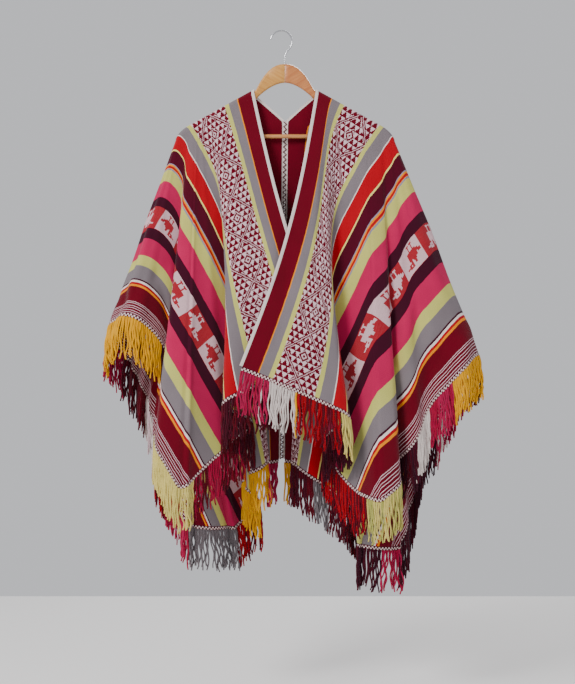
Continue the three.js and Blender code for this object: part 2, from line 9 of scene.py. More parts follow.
import bpy
import numpy as np
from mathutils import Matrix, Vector


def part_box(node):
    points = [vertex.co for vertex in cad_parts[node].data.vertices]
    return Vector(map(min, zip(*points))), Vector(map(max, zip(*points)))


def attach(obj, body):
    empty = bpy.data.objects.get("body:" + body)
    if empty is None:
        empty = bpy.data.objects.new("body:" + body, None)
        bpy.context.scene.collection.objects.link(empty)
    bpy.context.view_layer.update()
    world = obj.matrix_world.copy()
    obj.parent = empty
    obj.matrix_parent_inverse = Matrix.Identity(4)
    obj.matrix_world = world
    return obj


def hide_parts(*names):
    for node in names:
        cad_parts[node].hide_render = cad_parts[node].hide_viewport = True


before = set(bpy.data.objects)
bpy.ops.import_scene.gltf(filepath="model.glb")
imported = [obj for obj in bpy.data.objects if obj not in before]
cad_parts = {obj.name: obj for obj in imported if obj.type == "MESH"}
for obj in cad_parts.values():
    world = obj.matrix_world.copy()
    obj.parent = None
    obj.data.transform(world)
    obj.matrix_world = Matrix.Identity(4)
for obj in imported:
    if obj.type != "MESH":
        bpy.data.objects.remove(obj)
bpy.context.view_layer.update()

log = logging.getLogger("ruana")

MM = 0.001
BODY = "root"
SEAM_GAP = 0.3 * MM
CLOTH = 2.4 * MM


def srgb(red: int, green: int, blue: int) -> tuple[float, float, float, float]:
    """Turns a dyer's screen colour into the linear colour that shaders take.

    Args:
        red: Red, 0 to 255.
        green: Green, 0 to 255.
        blue: Blue, 0 to 255.

    Returns:
        The linear colour with full alpha.
    """
    def linear(value: int) -> float:
        """One channel, made linear."""
        share = value / 255
        return share / 12.92 if share <= 0.04045 else ((share + 0.055) / 1.055) ** 2.4

    return (linear(red), linear(green), linear(blue), 1.0)


class Dye(Enum):
    """Dyed wools of the cloth and the fringe."""

    CRIMSON = srgb(104, 2, 26)
    RED = srgb(180, 2, 26)
    WINE = srgb(80, 5, 30)
    MAROON = srgb(62, 9, 32)
    PINK = srgb(192, 28, 82)
    ROSE = srgb(178, 14, 62)
    LIME = srgb(200, 196, 104)
    PALE_YELLOW = srgb(242, 222, 124)
    GREY = srgb(126, 116, 120)
    ORANGE = srgb(240, 140, 10)
    GOLD = srgb(255, 184, 2)
    CREAM = srgb(240, 226, 220)
    BLUE_GREY = srgb(140, 138, 160)
    BLUSH = srgb(226, 196, 202)
    SCARLET = srgb(160, 0, 26)


class Rim(Enum):
    """Edge of the cloth that a fold ends at."""

    HEM = "hem"
    SIDE = "side"


class Face(Enum):
    """Half of a panel, by the way its Y points."""

    FRONT = -1
    BACK = 1


# ---------------------------------------------------------------------------------------------------
# Shader helper


class Shade:
    """A material's node tree, built with short calls."""

    def __init__(self, name: str) -> None:
        """Starts a material with one principled shader.

        Args:
            name: The material's name.
        """
        self.material = bpy.data.materials.new(name)
        self.material.use_nodes = True
        self.tree = self.material.node_tree
        self.shader = self.tree.nodes["Principled BSDF"]

    def node(self, kind: str, **settings: Any) -> Any:
        """Adds a node of this kind and sets its properties."""
        made = self.tree.nodes.new(kind)
        for key, value in settings.items():
            setattr(made, key, value)
        return made

    def plug(self, value: Any, socket: Any) -> None:
        """Links a socket to another, or sets its plain value."""
        if isinstance(value, bpy.types.NodeSocket):
            self.tree.links.new(value, socket)
        else:
            socket.default_value = value

    def math(self, operation: str, *values: Any) -> Any:
        """Result of a math node on these values."""
        made = self.node("ShaderNodeMath", operation=operation)
        for value, socket in zip(values, made.inputs):
            self.plug(value, socket)
        return made.outputs[0]

    def mix(self, share: Any, first: Any, second: Any, blend: str = "MIX") -> Any:
        """Colour between two others."""
        made = self.node("ShaderNodeMix", data_type="RGBA", blend_type=blend)
        self.plug(share, made.inputs["Factor"])
        self.plug(first, made.inputs[6])
        self.plug(second, made.inputs[7])
        return made.outputs[2]

    def noise(self, vector: Any, scale: float, detail: float = 2.0) -> Any:
        """Noise value at this scale."""
        made = self.node("ShaderNodeTexNoise")
        self.plug(vector, made.inputs["Vector"])
        made.inputs["Scale"].default_value = scale
        made.inputs["Detail"].default_value = detail
        return made.outputs["Fac"]

    def bump(self, height: Any, distance: float, strength: float = 1.0) -> None:
        """Adds relief to the shader from a height."""
        made = self.node("ShaderNodeBump")
        made.inputs["Distance"].default_value = distance
        made.inputs["Strength"].default_value = strength
        self.plug(height, made.inputs["Height"])
        self.plug(made.outputs["Normal"], self.shader.inputs["Normal"])

    def span(self, value: Any, low: float, high: float) -> Any:
        """1 where the value lies between low and high, else 0."""
        return self.math("MULTIPLY", self.math("GREATER_THAN", value, low), self.math("LESS_THAN", value, high))


@dataclass(frozen=True)
class Wool:
    """Nap and gloss shared by everything spun from wool."""

    roughness: float = 0.92
    sheen: float = 0.16
    sheen_roughness: float = 0.45
    specular: float = 0.08

    def dress(self, shade: Shade) -> None:
        """Sets the wool's gloss on a material."""
        shade.shader.inputs["Roughness"].default_value = self.roughness
        shade.shader.inputs["Sheen Weight"].default_value = self.sheen
        shade.shader.inputs["Sheen Roughness"].default_value = self.sheen_roughness
        shade.shader.inputs["Specular IOR Level"].default_value = self.specular


# ---------------------------------------------------------------------------------------------------
# Woven cloth

# Stripes from the neck edge outward: where each starts, in millimetres across the panel, and its dye.
STRIPES: tuple[tuple[float, Dye], ...] = (
    (0, Dye.CRIMSON), (30.5, Dye.ORANGE), (33, Dye.GREY), (53.5, Dye.LIME), (63, Dye.CREAM),
    (147.5, Dye.LIME), (157, Dye.GREY), (182, Dye.CREAM), (184.5, Dye.RED), (216, Dye.PALE_YELLOW),
    (219.5, Dye.WINE), (248.5, Dye.BLUE_GREY), (251, Dye.ORANGE), (255, Dye.RED), (259.5, Dye.ORANGE),
    (261, Dye.BLUE_GREY), (264, Dye.LIME), (291.5, Dye.PINK), (328.5, Dye.MAROON), (351, Dye.RED),
    (402.5, Dye.MAROON), (427.5, Dye.PINK), (467, Dye.LIME), (490, Dye.GREY), (520.5, Dye.MAROON),
    (524.5, Dye.CREAM), (529, Dye.RED), (533.5, Dye.ORANGE), (538, Dye.CRIMSON),
)
EDGE_LINES: tuple[float, ...] = (572, 576.5, 582, 586.5, 592, 596.5)
EDGE_LINE_WIDTH = 1.2


@dataclass(frozen=True)
class StripedCloth:
    """Warp stripes, a band of triangles and diamonds, and a band of birds, in wool."""

    width: float = 600.0
    split: float = 300.0
    knot: float = 1.7 * MM
    diamond_band: tuple[float, float] = (63 * MM, 147.5 * MM)
    diamond_length: float = 96 * MM
    triangle: float = 12.2 * MM
    bird_band: tuple[float, float] = (351 * MM, 402.5 * MM)
    bird_block: float = 78 * MM
    bird_cell: float = 3.2 * MM
    rib: float = 1.5 * MM
    wool: Wool = Wool()

    def stops(self) -> list[tuple[float, Dye]]:
        """Where each stripe starts, with the thin pale lines by the side edge."""
        found = list(STRIPES)
        for start in EDGE_LINES:
            found += [(start, Dye.BLUSH), (start + EDGE_LINE_WIDTH, Dye.CRIMSON)]
        return found

    def ramp(self, shade: Shade, across: Any, low: float, high: float) -> Any:
        """Colour of the stripes between two places across the cloth.

        Args:
            shade: The material being built.
            across: Socket with the place across the cloth, in metres.
            low: Start of the stretch in millimetres.
            high: End of the stretch in millimetres.

        Returns:
            The colour socket.
        """
        made = shade.node("ShaderNodeValToRGB")
        made.color_ramp.interpolation = "CONSTANT"
        share = shade.math("DIVIDE", shade.math("SUBTRACT", across, low * MM), (high - low) * MM)
        shade.plug(share, made.inputs["Fac"])
        stops = self.stops()
        before = [dye for start, dye in stops if start <= low][-1]
        inside = [(start, dye) for start, dye in stops if low < start < high]
        elements = made.color_ramp.elements
        elements.remove(elements[1])
        elements[0].position = 0
        elements[0].color = before.value
        for start, dye in inside:
            elements.new((start - low) / (high - low)).color = dye.value
        return made.outputs["Color"]

    def snapped(self, shade: Shade, value: Any, cell: float) -> Any:
        """Place rounded down to whole knots of the weave."""
        return shade.math("MULTIPLY", shade.math("FLOOR", shade.math("DIVIDE", value, cell)), cell)

    def diamonds(self, shade: Shade, across: Any, along: Any) -> Any:
        """Share of crimson in the band of triangles and diamonds."""
        low, high = self.diamond_band
        across = self.snapped(shade, across, self.knot)
        along = self.snapped(shade, along, self.knot)
        middle = (low + high) / 2
        aside = shade.math("ABSOLUTE", shade.math("DIVIDE", shade.math("SUBTRACT", across, middle), (high - low) / 2))
        turn = shade.math("FRACT", shade.math("DIVIDE", along, self.diamond_length))
        ahead = shade.math("ABSOLUTE", shade.math("SUBTRACT", shade.math("MULTIPLY", turn, 2.0), 1.0))
        reach = shade.math("ADD", aside, ahead)
        from_line = shade.math("ABSOLUTE", shade.math("SUBTRACT", reach, 1.0))
        row = shade.math("DIVIDE", along, self.triangle)
        shift = shade.math("MULTIPLY", shade.math("FLOOR", row), 0.5)
        column = shade.math("FRACT", shade.math("ADD", shade.math("DIVIDE", across, self.triangle), shift))
        slant = shade.math("ABSOLUTE", shade.math("SUBTRACT", shade.math("MULTIPLY", column, 2.0), 1.0))
        inside = shade.math("LESS_THAN", slant, shade.math("MULTIPLY_ADD", shade.math("FRACT", row), 1.02, 0.06))
        clear = shade.math("GREATER_THAN", from_line, 0.135)
        line = shade.span(from_line, 0.02, 0.11)
        centre = shade.math("LESS_THAN", reach, 0.3)
        ring = shade.math("MAXIMUM", shade.span(reach, 0.15, 0.26), shade.math("LESS_THAN", reach, 0.07))
        triangles = shade.math("MULTIPLY", inside, clear)
        field_ = shade.math("MULTIPLY", triangles, shade.math("SUBTRACT", 1.0, centre))
        return shade.math("MAXIMUM", shade.math("MAXIMUM", field_, line), ring)

    def bird(self, shade: Shade, across: Any, along: Any) -> Any:
        """1 on the stepped bird of this cloth's own chart, else 0; places are in cells."""
        # Each row is a part of the bird: from and to across, from and to along, in cells.
        parts = (
            (5, 10, 5, 15), (6, 8, 3, 5), (7, 9, 1, 4), (9, 12, 12, 14), (11, 14, 12, 17),
            (12, 13, 17, 20), (2, 5, 7, 8), (2, 5, 11, 12), (1, 2, 6, 9), (1, 2, 10, 13),
            (10, 11, 7, 11), (11, 13, 8, 10),
        )
        shape: Any = 0.0
        for left, right, low, high in parts:
            part = shade.math(
                "MULTIPLY",
                shade.span(across, left - 0.5, right - 0.5),
                shade.span(along, low - 0.5, high - 0.5),
            )
            shape = shade.math("MAXIMUM", shape, part)
        eye = shade.math("MULTIPLY", shade.span(across, 11.5, 12.5), shade.span(along, 13.5, 14.5))
        return shade.math("SUBTRACT", shape, eye)

    def birds(self, shade: Shade, across: Any, along: Any) -> Any:
        """Share of white in the bird band, whose blocks swap ground and figure."""
        low = self.bird_band[0]
        cell_across = shade.math("FLOOR", shade.math("DIVIDE", shade.math("SUBTRACT", across, low), self.bird_cell))
        block = shade.math("DIVIDE", along, self.bird_block)
        inside = shade.math("MULTIPLY", shade.math("FRACT", block), self.bird_block / self.bird_cell)
        cell_along = shade.math("FLOOR", inside)
        figure = self.bird(shade, cell_across, cell_along)
        swap = shade.math("MODULO", shade.math("ABSOLUTE", shade.math("FLOOR", block)), 2.0)
        pale = shade.math("ABSOLUTE", shade.math("SUBTRACT", figure, swap))
        knots = shade.math(
            "ADD",
            shade.math("FLOOR", shade.math("DIVIDE", across, self.knot)),
            shade.math("FLOOR", shade.math("DIVIDE", along, self.knot)),
        )
        dots = shade.math("MODULO", shade.math("ABSOLUTE", knots), 2.0)
        full = shade.math("MULTIPLY_ADD", dots, 0.3, 0.66)
        bare = shade.math("MULTIPLY", dots, 0.07)
        return shade.math("ADD", bare, shade.math("MULTIPLY", pale, shade.math("SUBTRACT", full, bare)))

    def material(self, name: str) -> Any:
        """The cloth's material.

        Args:
            name: The material's name.

        Returns:
            The finished material.
        """
        shade = Shade(name)
        self.wool.dress(shade)
        place = shade.node("ShaderNodeUVMap", uv_map="cloth")
        parts = shade.node("ShaderNodeSeparateXYZ")
        shade.plug(place.outputs[0], parts.inputs[0])
        waver = shade.math("SUBTRACT", shade.noise(place.outputs[0], 60.0), 0.5)
        across = shade.math("MULTIPLY_ADD", waver, 1.6 * MM, parts.outputs[0])
        along = parts.outputs[1]
        inner = self.ramp(shade, across, 0.0, self.split)
        outer = self.ramp(shade, across, self.split, self.width)
        past = shade.math("GREATER_THAN", across, self.split * MM)
        colour = shade.mix(past, inner, outer)
        low, high = self.diamond_band
        diamonds = shade.mix(self.diamonds(shade, across, along), Dye.BLUSH.value, Dye.CRIMSON.value)
        colour = shade.mix(shade.span(across, low, high), colour, diamonds)
        low, high = self.bird_band
        birds = shade.mix(self.birds(shade, across, along), Dye.SCARLET.value, Dye.BLUSH.value)
        colour = shade.mix(shade.span(across, low, high), colour, birds)
        flecks = shade.noise(place.outputs[0], 700.0, 3.0)
        broad = shade.noise(place.outputs[0], 14.0, 4.0)
        dusk = shade.math("MULTIPLY_ADD", flecks, 0.55, 0.72)
        dusk = shade.math("MULTIPLY", dusk, shade.math("MULTIPLY_ADD", broad, 0.35, 0.82))
        grey = shade.node("ShaderNodeCombineColor")
        for socket in grey.inputs:
            shade.plug(dusk, socket)
        colour = shade.mix(1.0, colour, grey.outputs[0], "MULTIPLY")
        shade.plug(colour, shade.shader.inputs["Base Color"])
        ribs = shade.math("SINE", shade.math("MULTIPLY", across, 2 * math.pi / self.rib))
        picks = shade.math("SINE", shade.math("MULTIPLY", along, 2 * math.pi / (self.rib * 0.8)))
        weave = shade.math("ADD", shade.math("MULTIPLY", ribs, 0.6), shade.math("MULTIPLY", picks, 0.3))
        shade.bump(shade.math("ADD", weave, shade.math("MULTIPLY", flecks, 1.6)), 0.35 * MM, 0.6)
        return shade.material


@dataclass(frozen=True)
class CheckedBand:
    """Two staggered rows of small pale checks between two maroon borders."""

    check: float = 3.6 * MM
    border: float = 1.3 * MM
    row: float = 3.2 * MM
    wool: Wool = Wool()

    def material(self, name: str) -> Any:
        """The heading's material, on its own map of length and width in metres."""
        shade = Shade(name)
        self.wool.dress(shade)
        place = shade.node("ShaderNodeUVMap", uv_map="cloth")
        parts = shade.node("ShaderNodeSeparateXYZ")
        shade.plug(place.outputs[0], parts.inputs[0])
        column = shade.math("FLOOR", shade.math("DIVIDE", parts.outputs[0], self.check))
        inner = shade.math("SUBTRACT", parts.outputs[1], self.border)
        row = shade.math("FLOOR", shade.math("DIVIDE", inner, self.row))
        odd = shade.math("MODULO", shade.math("ABSOLUTE", shade.math("ADD", column, row)), 2.0)
        pale = shade.math("MULTIPLY", odd, shade.span(inner, 0.0, 2 * self.row))
        flecks = shade.noise(place.outputs[0], 600.0, 3.0)
        cream = shade.mix(shade.math("MULTIPLY", flecks, 0.35), Dye.CREAM.value, Dye.ROSE.value)
        shade.plug(shade.mix(pale, Dye.WINE.value, cream), shade.shader.inputs["Base Color"])
        wave = shade.math("SINE", shade.math("MULTIPLY", parts.outputs[0], 2 * math.pi / self.check))
        shade.bump(shade.math("ADD", wave, flecks), 0.5 * MM, 0.8)
        return shade.material


@dataclass(frozen=True)
class PlainWool:
    """One dyed wool with flecks and a soft nap."""

    dye: Dye
    fleck: float = 0.45
    ply: float = 2.6 * MM
    wool: Wool = Wool()

    def material(self, name: str) -> Any:
        """The wool's material."""
        shade = Shade(name)
        self.wool.dress(shade)
        place = shade.node("ShaderNodeTexCoord")
        flecks = shade.noise(place.outputs["Object"], 420.0, 3.0)
        broad = shade.noise(place.outputs["Object"], 45.0, 2.0)
        dark = tuple(channel * 0.42 for channel in self.dye.value[:3]) + (1.0,)
        share = shade.math("MULTIPLY", shade.math("ADD", flecks, broad), self.fleck)
        shade.plug(shade.mix(share, self.dye.value, dark), shade.shader.inputs["Base Color"])
        wave = shade.node("ShaderNodeTexWave", wave_type="BANDS", bands_direction="DIAGONAL")
        shade.plug(place.outputs["Object"], wave.inputs["Vector"])
        wave.inputs["Scale"].default_value = 0.31 / self.ply
        wave.inputs["Distortion"].default_value = 3.0
        shade.bump(shade.math("ADD", wave.outputs["Fac"], flecks), 0.5 * MM, 0.7)
        return shade.material


@dataclass(frozen=True)
class Beech:
    """Clear-varnished wood whose grain runs along the piece."""

    base: tuple[float, float, float, float] = srgb(214, 150, 88)
    dark: tuple[float, float, float, float] = srgb(168, 98, 44)
    slope: float = 0.0
    roughness: float = 0.36

    def material(self, name: str) -> Any:
        """The wood's material."""
        shade = Shade(name)
        place = shade.node("ShaderNodeTexCoord")
        turned = shade.node("ShaderNodeMapping")
        shade.plug(place.outputs["Object"], turned.inputs["Vector"])
        turned.inputs["Rotation"].default_value = (0.0, self.slope, 0.0)
        drawn = shade.node("ShaderNodeMapping")
        shade.plug(turned.outputs[0], drawn.inputs["Vector"])
        drawn.inputs["Scale"].default_value = (1.0, 8.0, 14.0)
        grain = shade.noise(drawn.outputs[0], 16.0, 6.0)
        fine = shade.noise(drawn.outputs[0], 70.0, 4.0)
        share = shade.math("MULTIPLY_ADD", grain, 1.7, -0.45)
        share = shade.math("ADD", share, shade.math("MULTIPLY", fine, 0.25))
        ramp = shade.node("ShaderNodeClamp")
        shade.plug(share, ramp.inputs[0])
        shade.plug(shade.mix(ramp.outputs[0], self.base, self.dark), shade.shader.inputs["Base Color"])
        shade.shader.inputs["Roughness"].default_value = self.roughness
        shade.shader.inputs["Coat Weight"].default_value = 0.35
        shade.shader.inputs["Coat Roughness"].default_value = 0.2
        shade.bump(fine, 0.12 * MM, 0.5)
        return shade.material


@dataclass(frozen=True)
class PlatedWire:
    """Bright plated steel with fine drawing marks."""

    colour: tuple[float, float, float, float] = srgb(205, 205, 208)
    roughness: float = 0.22

    def material(self, name: str) -> Any:
        """The wire's material."""
        shade = Shade(name)
        place = shade.node("ShaderNodeTexCoord")
        marks = shade.noise(place.outputs["Object"], 900.0, 2.0)
        tint = shade.mix(shade.math("MULTIPLY", marks, 0.3), self.colour, srgb(140, 140, 144))
        shade.plug(tint, shade.shader.inputs["Base Color"])
        shade.shader.inputs["Metallic"].default_value = 1.0
        shade.shader.inputs["Roughness"].default_value = self.roughness
        shade.bump(marks, 0.05 * MM, 0.3)
        return shade.material


# ---------------------------------------------------------------------------------------------------
# Shoulder line and folds, in millimetres as the cloth was measured


@dataclass(frozen=True)
class ShoulderLine:
    """Line along the top of the hanger that the cloth lies over."""

    centre_x: float = 6.0
    neck_half: float = 69.0
    neck_z: float = -124.0
    slope: float = math.radians(29)
    straight: float = 150.0
    tip_turn: float = math.radians(42)
    tip_run: float = 45.0
    steps: int = 12
    radius: float = 8.0

    def slope_at(self, run: float) -> float:
        """Slope this far from the neck."""
        return self.slope + self.tip_turn * min(max(run - self.straight, 0.0) / self.tip_run, 1.0)

    def point(self, run: float, hand: int) -> np.ndarray:
        """Point this far from the neck.

        Args:
            run: Distance along the line.
            hand: 1 for the panel on the right of the view, -1 for the other.

        Returns:
            The point in millimetres.
        """
        straight = min(run, self.straight)
        x = straight * math.cos(self.slope)
        z = -straight * math.sin(self.slope)
        step = max(run - self.straight, 0.0) / self.steps
        for index in range(self.steps):
            angle = self.slope_at(self.straight + (index + 0.5) * step)
            x += step * math.cos(angle)
            z -= step * math.sin(angle)
        return np.array((self.centre_x + hand * (self.neck_half + x), 0.0, self.neck_z + z))


@dataclass(frozen=True)
class Fold:
    """One ridge or valley, from the shoulder line down to the rim of the cloth.

    Attributes:
        name: What the fold is.
        top: Start along the shoulder line.
        soft: Roundness of its bend; 0.5 is round all the way to the next fold.
        rim: Edge of the cloth that it meets.
        along: How far along that edge, from the neck edge or from the shoulder.
        end: Where it meets the edge.
        bow: How far it sags aside and upward half way down.
        pull: How far the neck edge is drawn in to the back seam.
    """

    name: str
    top: float
    soft: float
    rim: Rim
    along: float
    end: tuple[float, float, float]
    bow: tuple[float, float] = (0.0, 0.0)
    pull: float = 0.0


@dataclass(frozen=True)
class Crease:
    """Soft ridge or trough between two places of the cloth, front places counted positive.

    Attributes:
        start: Across and along at its upper end.
        end: Across and along at its lower end.
        half: Half of its width.
        height: Its height; a trough's is negative.
    """

    start: tuple[float, float]
    end: tuple[float, float]
    half: float
    height: float


@dataclass(frozen=True)
class Pleats:
    """Small pleats between one fold and the next, deepest at the rim, that take up some of the cut's cloth.

    Attributes:
        fold: Number of the fold that they follow.
        count: How many there are.
        height: Their height at the rim.
    """

    fold: int
    count: int
    height: float


HEM, SIDE = Rim.HEM, Rim.SIDE

RIGHT_FRONT = (
    Fold("inner", 0, 0, HEM, 0, (-79, -78, -692), (18, -6)),
    Fold("flap_middle", 14, 0.5, HEM, 83, (2, -80, -723), (18, -4)),
    Fold("flap_edge", 30, 0.22, HEM, 231, (148, -66, -790), (-25, 0)),
    Fold("flap_valley", 62, 0.4, HEM, 374, (72, 42, -845)),
    Fold("lobe_edge", 92, 0.4, HEM, 508, (144, -4, -943)),
    Fold("corner", 115, 0.15, HEM, 600, (199, -62, -960)),
    Fold("lobe_side", 140, 0.22, SIDE, 536, (244, -45, -924)),
    Fold("side_valley", 154, 0.4, SIDE, 444, (232, 14, -891)),
    Fold("wing_ridge", 166, 0.5, SIDE, 361, (275, -32, -846), (0, -6)),
    Fold("wing_valley", 172, 0.5, SIDE, 273, (300, -8, -771)),
    Fold("wing_front", 178, 0.5, SIDE, 185, (348, -32, -717), (0, -6)),
    Fold("outline", 184, 0.5, SIDE, 93, (397, -14, -661)),
    Fold("shoulder", 190, 0.5, SIDE, 0, (406, 34, -668), (4, 0)),
)
RIGHT_BACK = (
    Fold("inner", 0, 0, HEM, 0, (5.6, 112, -895), pull=1),
    Fold("flap_middle", 14, 0.5, HEM, 57, (42, 96, -898), pull=0.8),
    Fold("flap_edge", 30, 0.22, HEM, 115, (10, 62, -889), pull=0.6),
    Fold("flap_valley", 62, 0.4, HEM, 314, (135, 62, -974), pull=0.2),
    Fold("lobe_edge", 92, 0.4, HEM, 397, (170, 100, -1028)),
    Fold("corner", 115, 0.15, HEM, 480, (158, 60, -1071)),
    Fold("lobe_side", 140, 0.22, HEM, 600, (253, 62, -1080)),
    Fold("side_valley", 154, 0.4, SIDE, 659, (285, 104, -970)),
    Fold("wing_ridge", 166, 0.5, SIDE, 497, (285, 62, -887)),
    Fold("wing_valley", 172, 0.5, SIDE, 334, (331, 98, -815)),
    Fold("wing_front", 178, 0.5, SIDE, 182, (360, 70, -732)),
    Fold("outline", 184, 0.5, SIDE, 91, (385, 90, -697)),
)
LEFT_FRONT = (
    Fold("inner", 0, 0, HEM, 0, (100, -44, -684), (-14, 0)),
    Fold("flap_middle", 40, 0.5, HEM, 102, (2, -48, -705)),
    Fold("flap_edge", 88, 0.36, HEM, 231, (-141, -60, -765), (17, 0)),
    Fold("flap_valley", 104, 0.46, HEM, 328, (-48, 42, -804)),
    Fold("lobe_edge", 118, 0.4, HEM, 420, (-98, 18, -835)),
    Fold("corner", 130, 0.15, HEM, 600, (-205, -58, -939)),
    Fold("lobe_side", 140, 0.22, SIDE, 488, (-263, -45, -841)),
    Fold("side_valley", 154, 0.4, SIDE, 376, (-225, 24, -711)),
    Fold("wing_ridge", 163, 0.5, SIDE, 263, (-246, 6, -640)),
    Fold("wing_valley", 169, 0.5, SIDE, 200, (-275, -14, -603)),
    Fold("wing_front", 175, 0.5, SIDE, 146, (-311, -30, -579), (0, -4)),
    Fold("outline", 181, 0.5, SIDE, 73, (-339, -4, -585)),
    Fold("shoulder", 187, 0.5, SIDE, 0, (-362, 44, -624)),
)
LEFT_BACK = (
    Fold("inner", 0, 0, HEM, 0, (-7.6, 112, -895), pull=1),
    Fold("flap_middle", 40, 0.5, HEM, 57, (-40, 96, -898), pull=0.5),
    Fold("flap_edge", 88, 0.36, HEM, 115, (-8, 62, -885), pull=0.3),
    Fold("flap_valley", 104, 0.46, HEM, 231, (-104, 56, -935), pull=0.1),
    Fold("lobe_edge", 118, 0.4, HEM, 323, (-40, 108, -986), (-40, 0)),
    Fold("corner", 130, 0.15, HEM, 452, (-104, 100, -1040), (-34, 0)),
    Fold("lobe_side", 140, 0.22, HEM, 600, (-203, 64, -1032)),
    Fold("side_valley", 154, 0.4, SIDE, 659, (-228, 104, -970)),
    Fold("wing_ridge", 163, 0.5, SIDE, 516, (-273, 60, -887)),
    Fold("wing_valley", 169, 0.5, SIDE, 363, (-277, 98, -784)),
    Fold("wing_front", 175, 0.5, SIDE, 210, (-319, 70, -690)),
    Fold("outline", 181, 0.5, SIDE, 105, (-348, 92, -651)),
)

RIGHT_CREASES = (
    Crease((18, 59), (65, 322), 16, 5.1),
    Crease((37, 117), (111, 410), 20, -6.0),
    Crease((88, 244), (138, 546), 22, 6.0),
    Crease((9, 322), (55, 585), 18, -5.1),
    Crease((148, 293), (194, 585), 14, 5.1),
    Crease((434, 176), (517, 458), 24, 8.5),
    Crease((397, 254), (462, 546), 20, -6.8),
    Crease((517, 117), (591, 293), 22, -6.8),
    Crease((554, 59), (600, 156), 20, 6.8),
    Crease((277, 59), (443, 88), 20, 5.1),
    Crease((305, -86), (517, -153), 26, -6.8),
    Crease((185, -191), (277, -478), 26, 7.6),
    Crease((388, -268), (480, -612), 26, -8.5),
    Crease((517, -191), (591, -459), 24, 7.6),
    Crease((102, -287), (166, -612), 22, -6.0),
)
LEFT_CREASES = (
    Crease((55, 78), (83, 390), 18, -4.2),
    Crease((111, 137), (157, 419), 20, 5.1),
    Crease((28, 254), (83, 566), 20, 4.2),
    Crease((166, 322), (217, 585), 16, -5.1),
    Crease((443, 195), (563, 488), 22, 7.6),
    Crease((498, 156), (591, 371), 18, -6.8),
    Crease((397, 59), (517, 107), 18, 6.0),
    Crease((545, 39), (598, 127), 18, -6.0),
    Crease((295, -96), (554, -134), 24, 6.8),
    Crease((212, -210), (314, -535), 24, -6.8),
    Crease((415, -229), (517, -593), 28, 8.5),
    Crease((545, -153), (595, -401), 20, -6.8),
    Crease((55, -306), (102, -631), 20, 5.1),
)

RIGHT_PLEATS = (
    Pleats(4, 1, 4), Pleats(5, 1, 3), Pleats(9, 1, 3), Pleats(10, 1, 3), Pleats(11, 1, 4),
    Pleats(12, 1, 6), Pleats(13, 1, 6), Pleats(14, 1, 7), Pleats(15, 1, 7),
    Pleats(17, 2, 8), Pleats(18, 2, 10), Pleats(20, 1, 6), Pleats(21, 2, 10), Pleats(22, 1, 5),
)
LEFT_PLEATS = (
    Pleats(4, 2, 6), Pleats(5, 1, 4), Pleats(9, 1, 3), Pleats(10, 1, 4),
    Pleats(11, 1, 8), Pleats(12, 2, 10), Pleats(13, 2, 11), Pleats(14, 2, 12), Pleats(15, 2, 11),
    Pleats(17, 2, 11), Pleats(18, 2, 16), Pleats(19, 1, 11), Pleats(20, 1, 10), Pleats(21, 2, 14), Pleats(22, 1, 9),
)


@dataclass
class Surface:
    """A draped sheet as rings of points from the shoulder line to the rim.

    Attributes:
        points: Places in metres, by ring and column.
        cloth: Across and along in metres, by ring and column.
        marks: Column of each fold, front folds first and back folds after them in reverse.
        hand: 1 for the panel on the right of the view, -1 for the other.
    """

    points: np.ndarray
    cloth: np.ndarray
    marks: list[int]
    hand: int

    def normals(self) -> np.ndarray:
        """Unit normals that point out of the garment."""
        down = np.gradient(self.points, axis=0)
        across = np.gradient(self.points, axis=1)
        normals = np.cross(across, down) * -self.hand
        columns = self.points.shape[1]
        middle = (columns - 1) // 2
        order = np.minimum(np.arange(columns), columns - 1 - np.arange(columns))
        crest = self.points[0]
        run = crest[np.minimum(order + 1, middle)] - crest[np.maximum(order - 1, 0)]
        normals[0] = np.stack((-run[:, 2] * self.hand, run[:, 1] * 0, run[:, 0] * self.hand), axis=1)
        return normals / np.linalg.norm(normals, axis=2, keepdims=True)


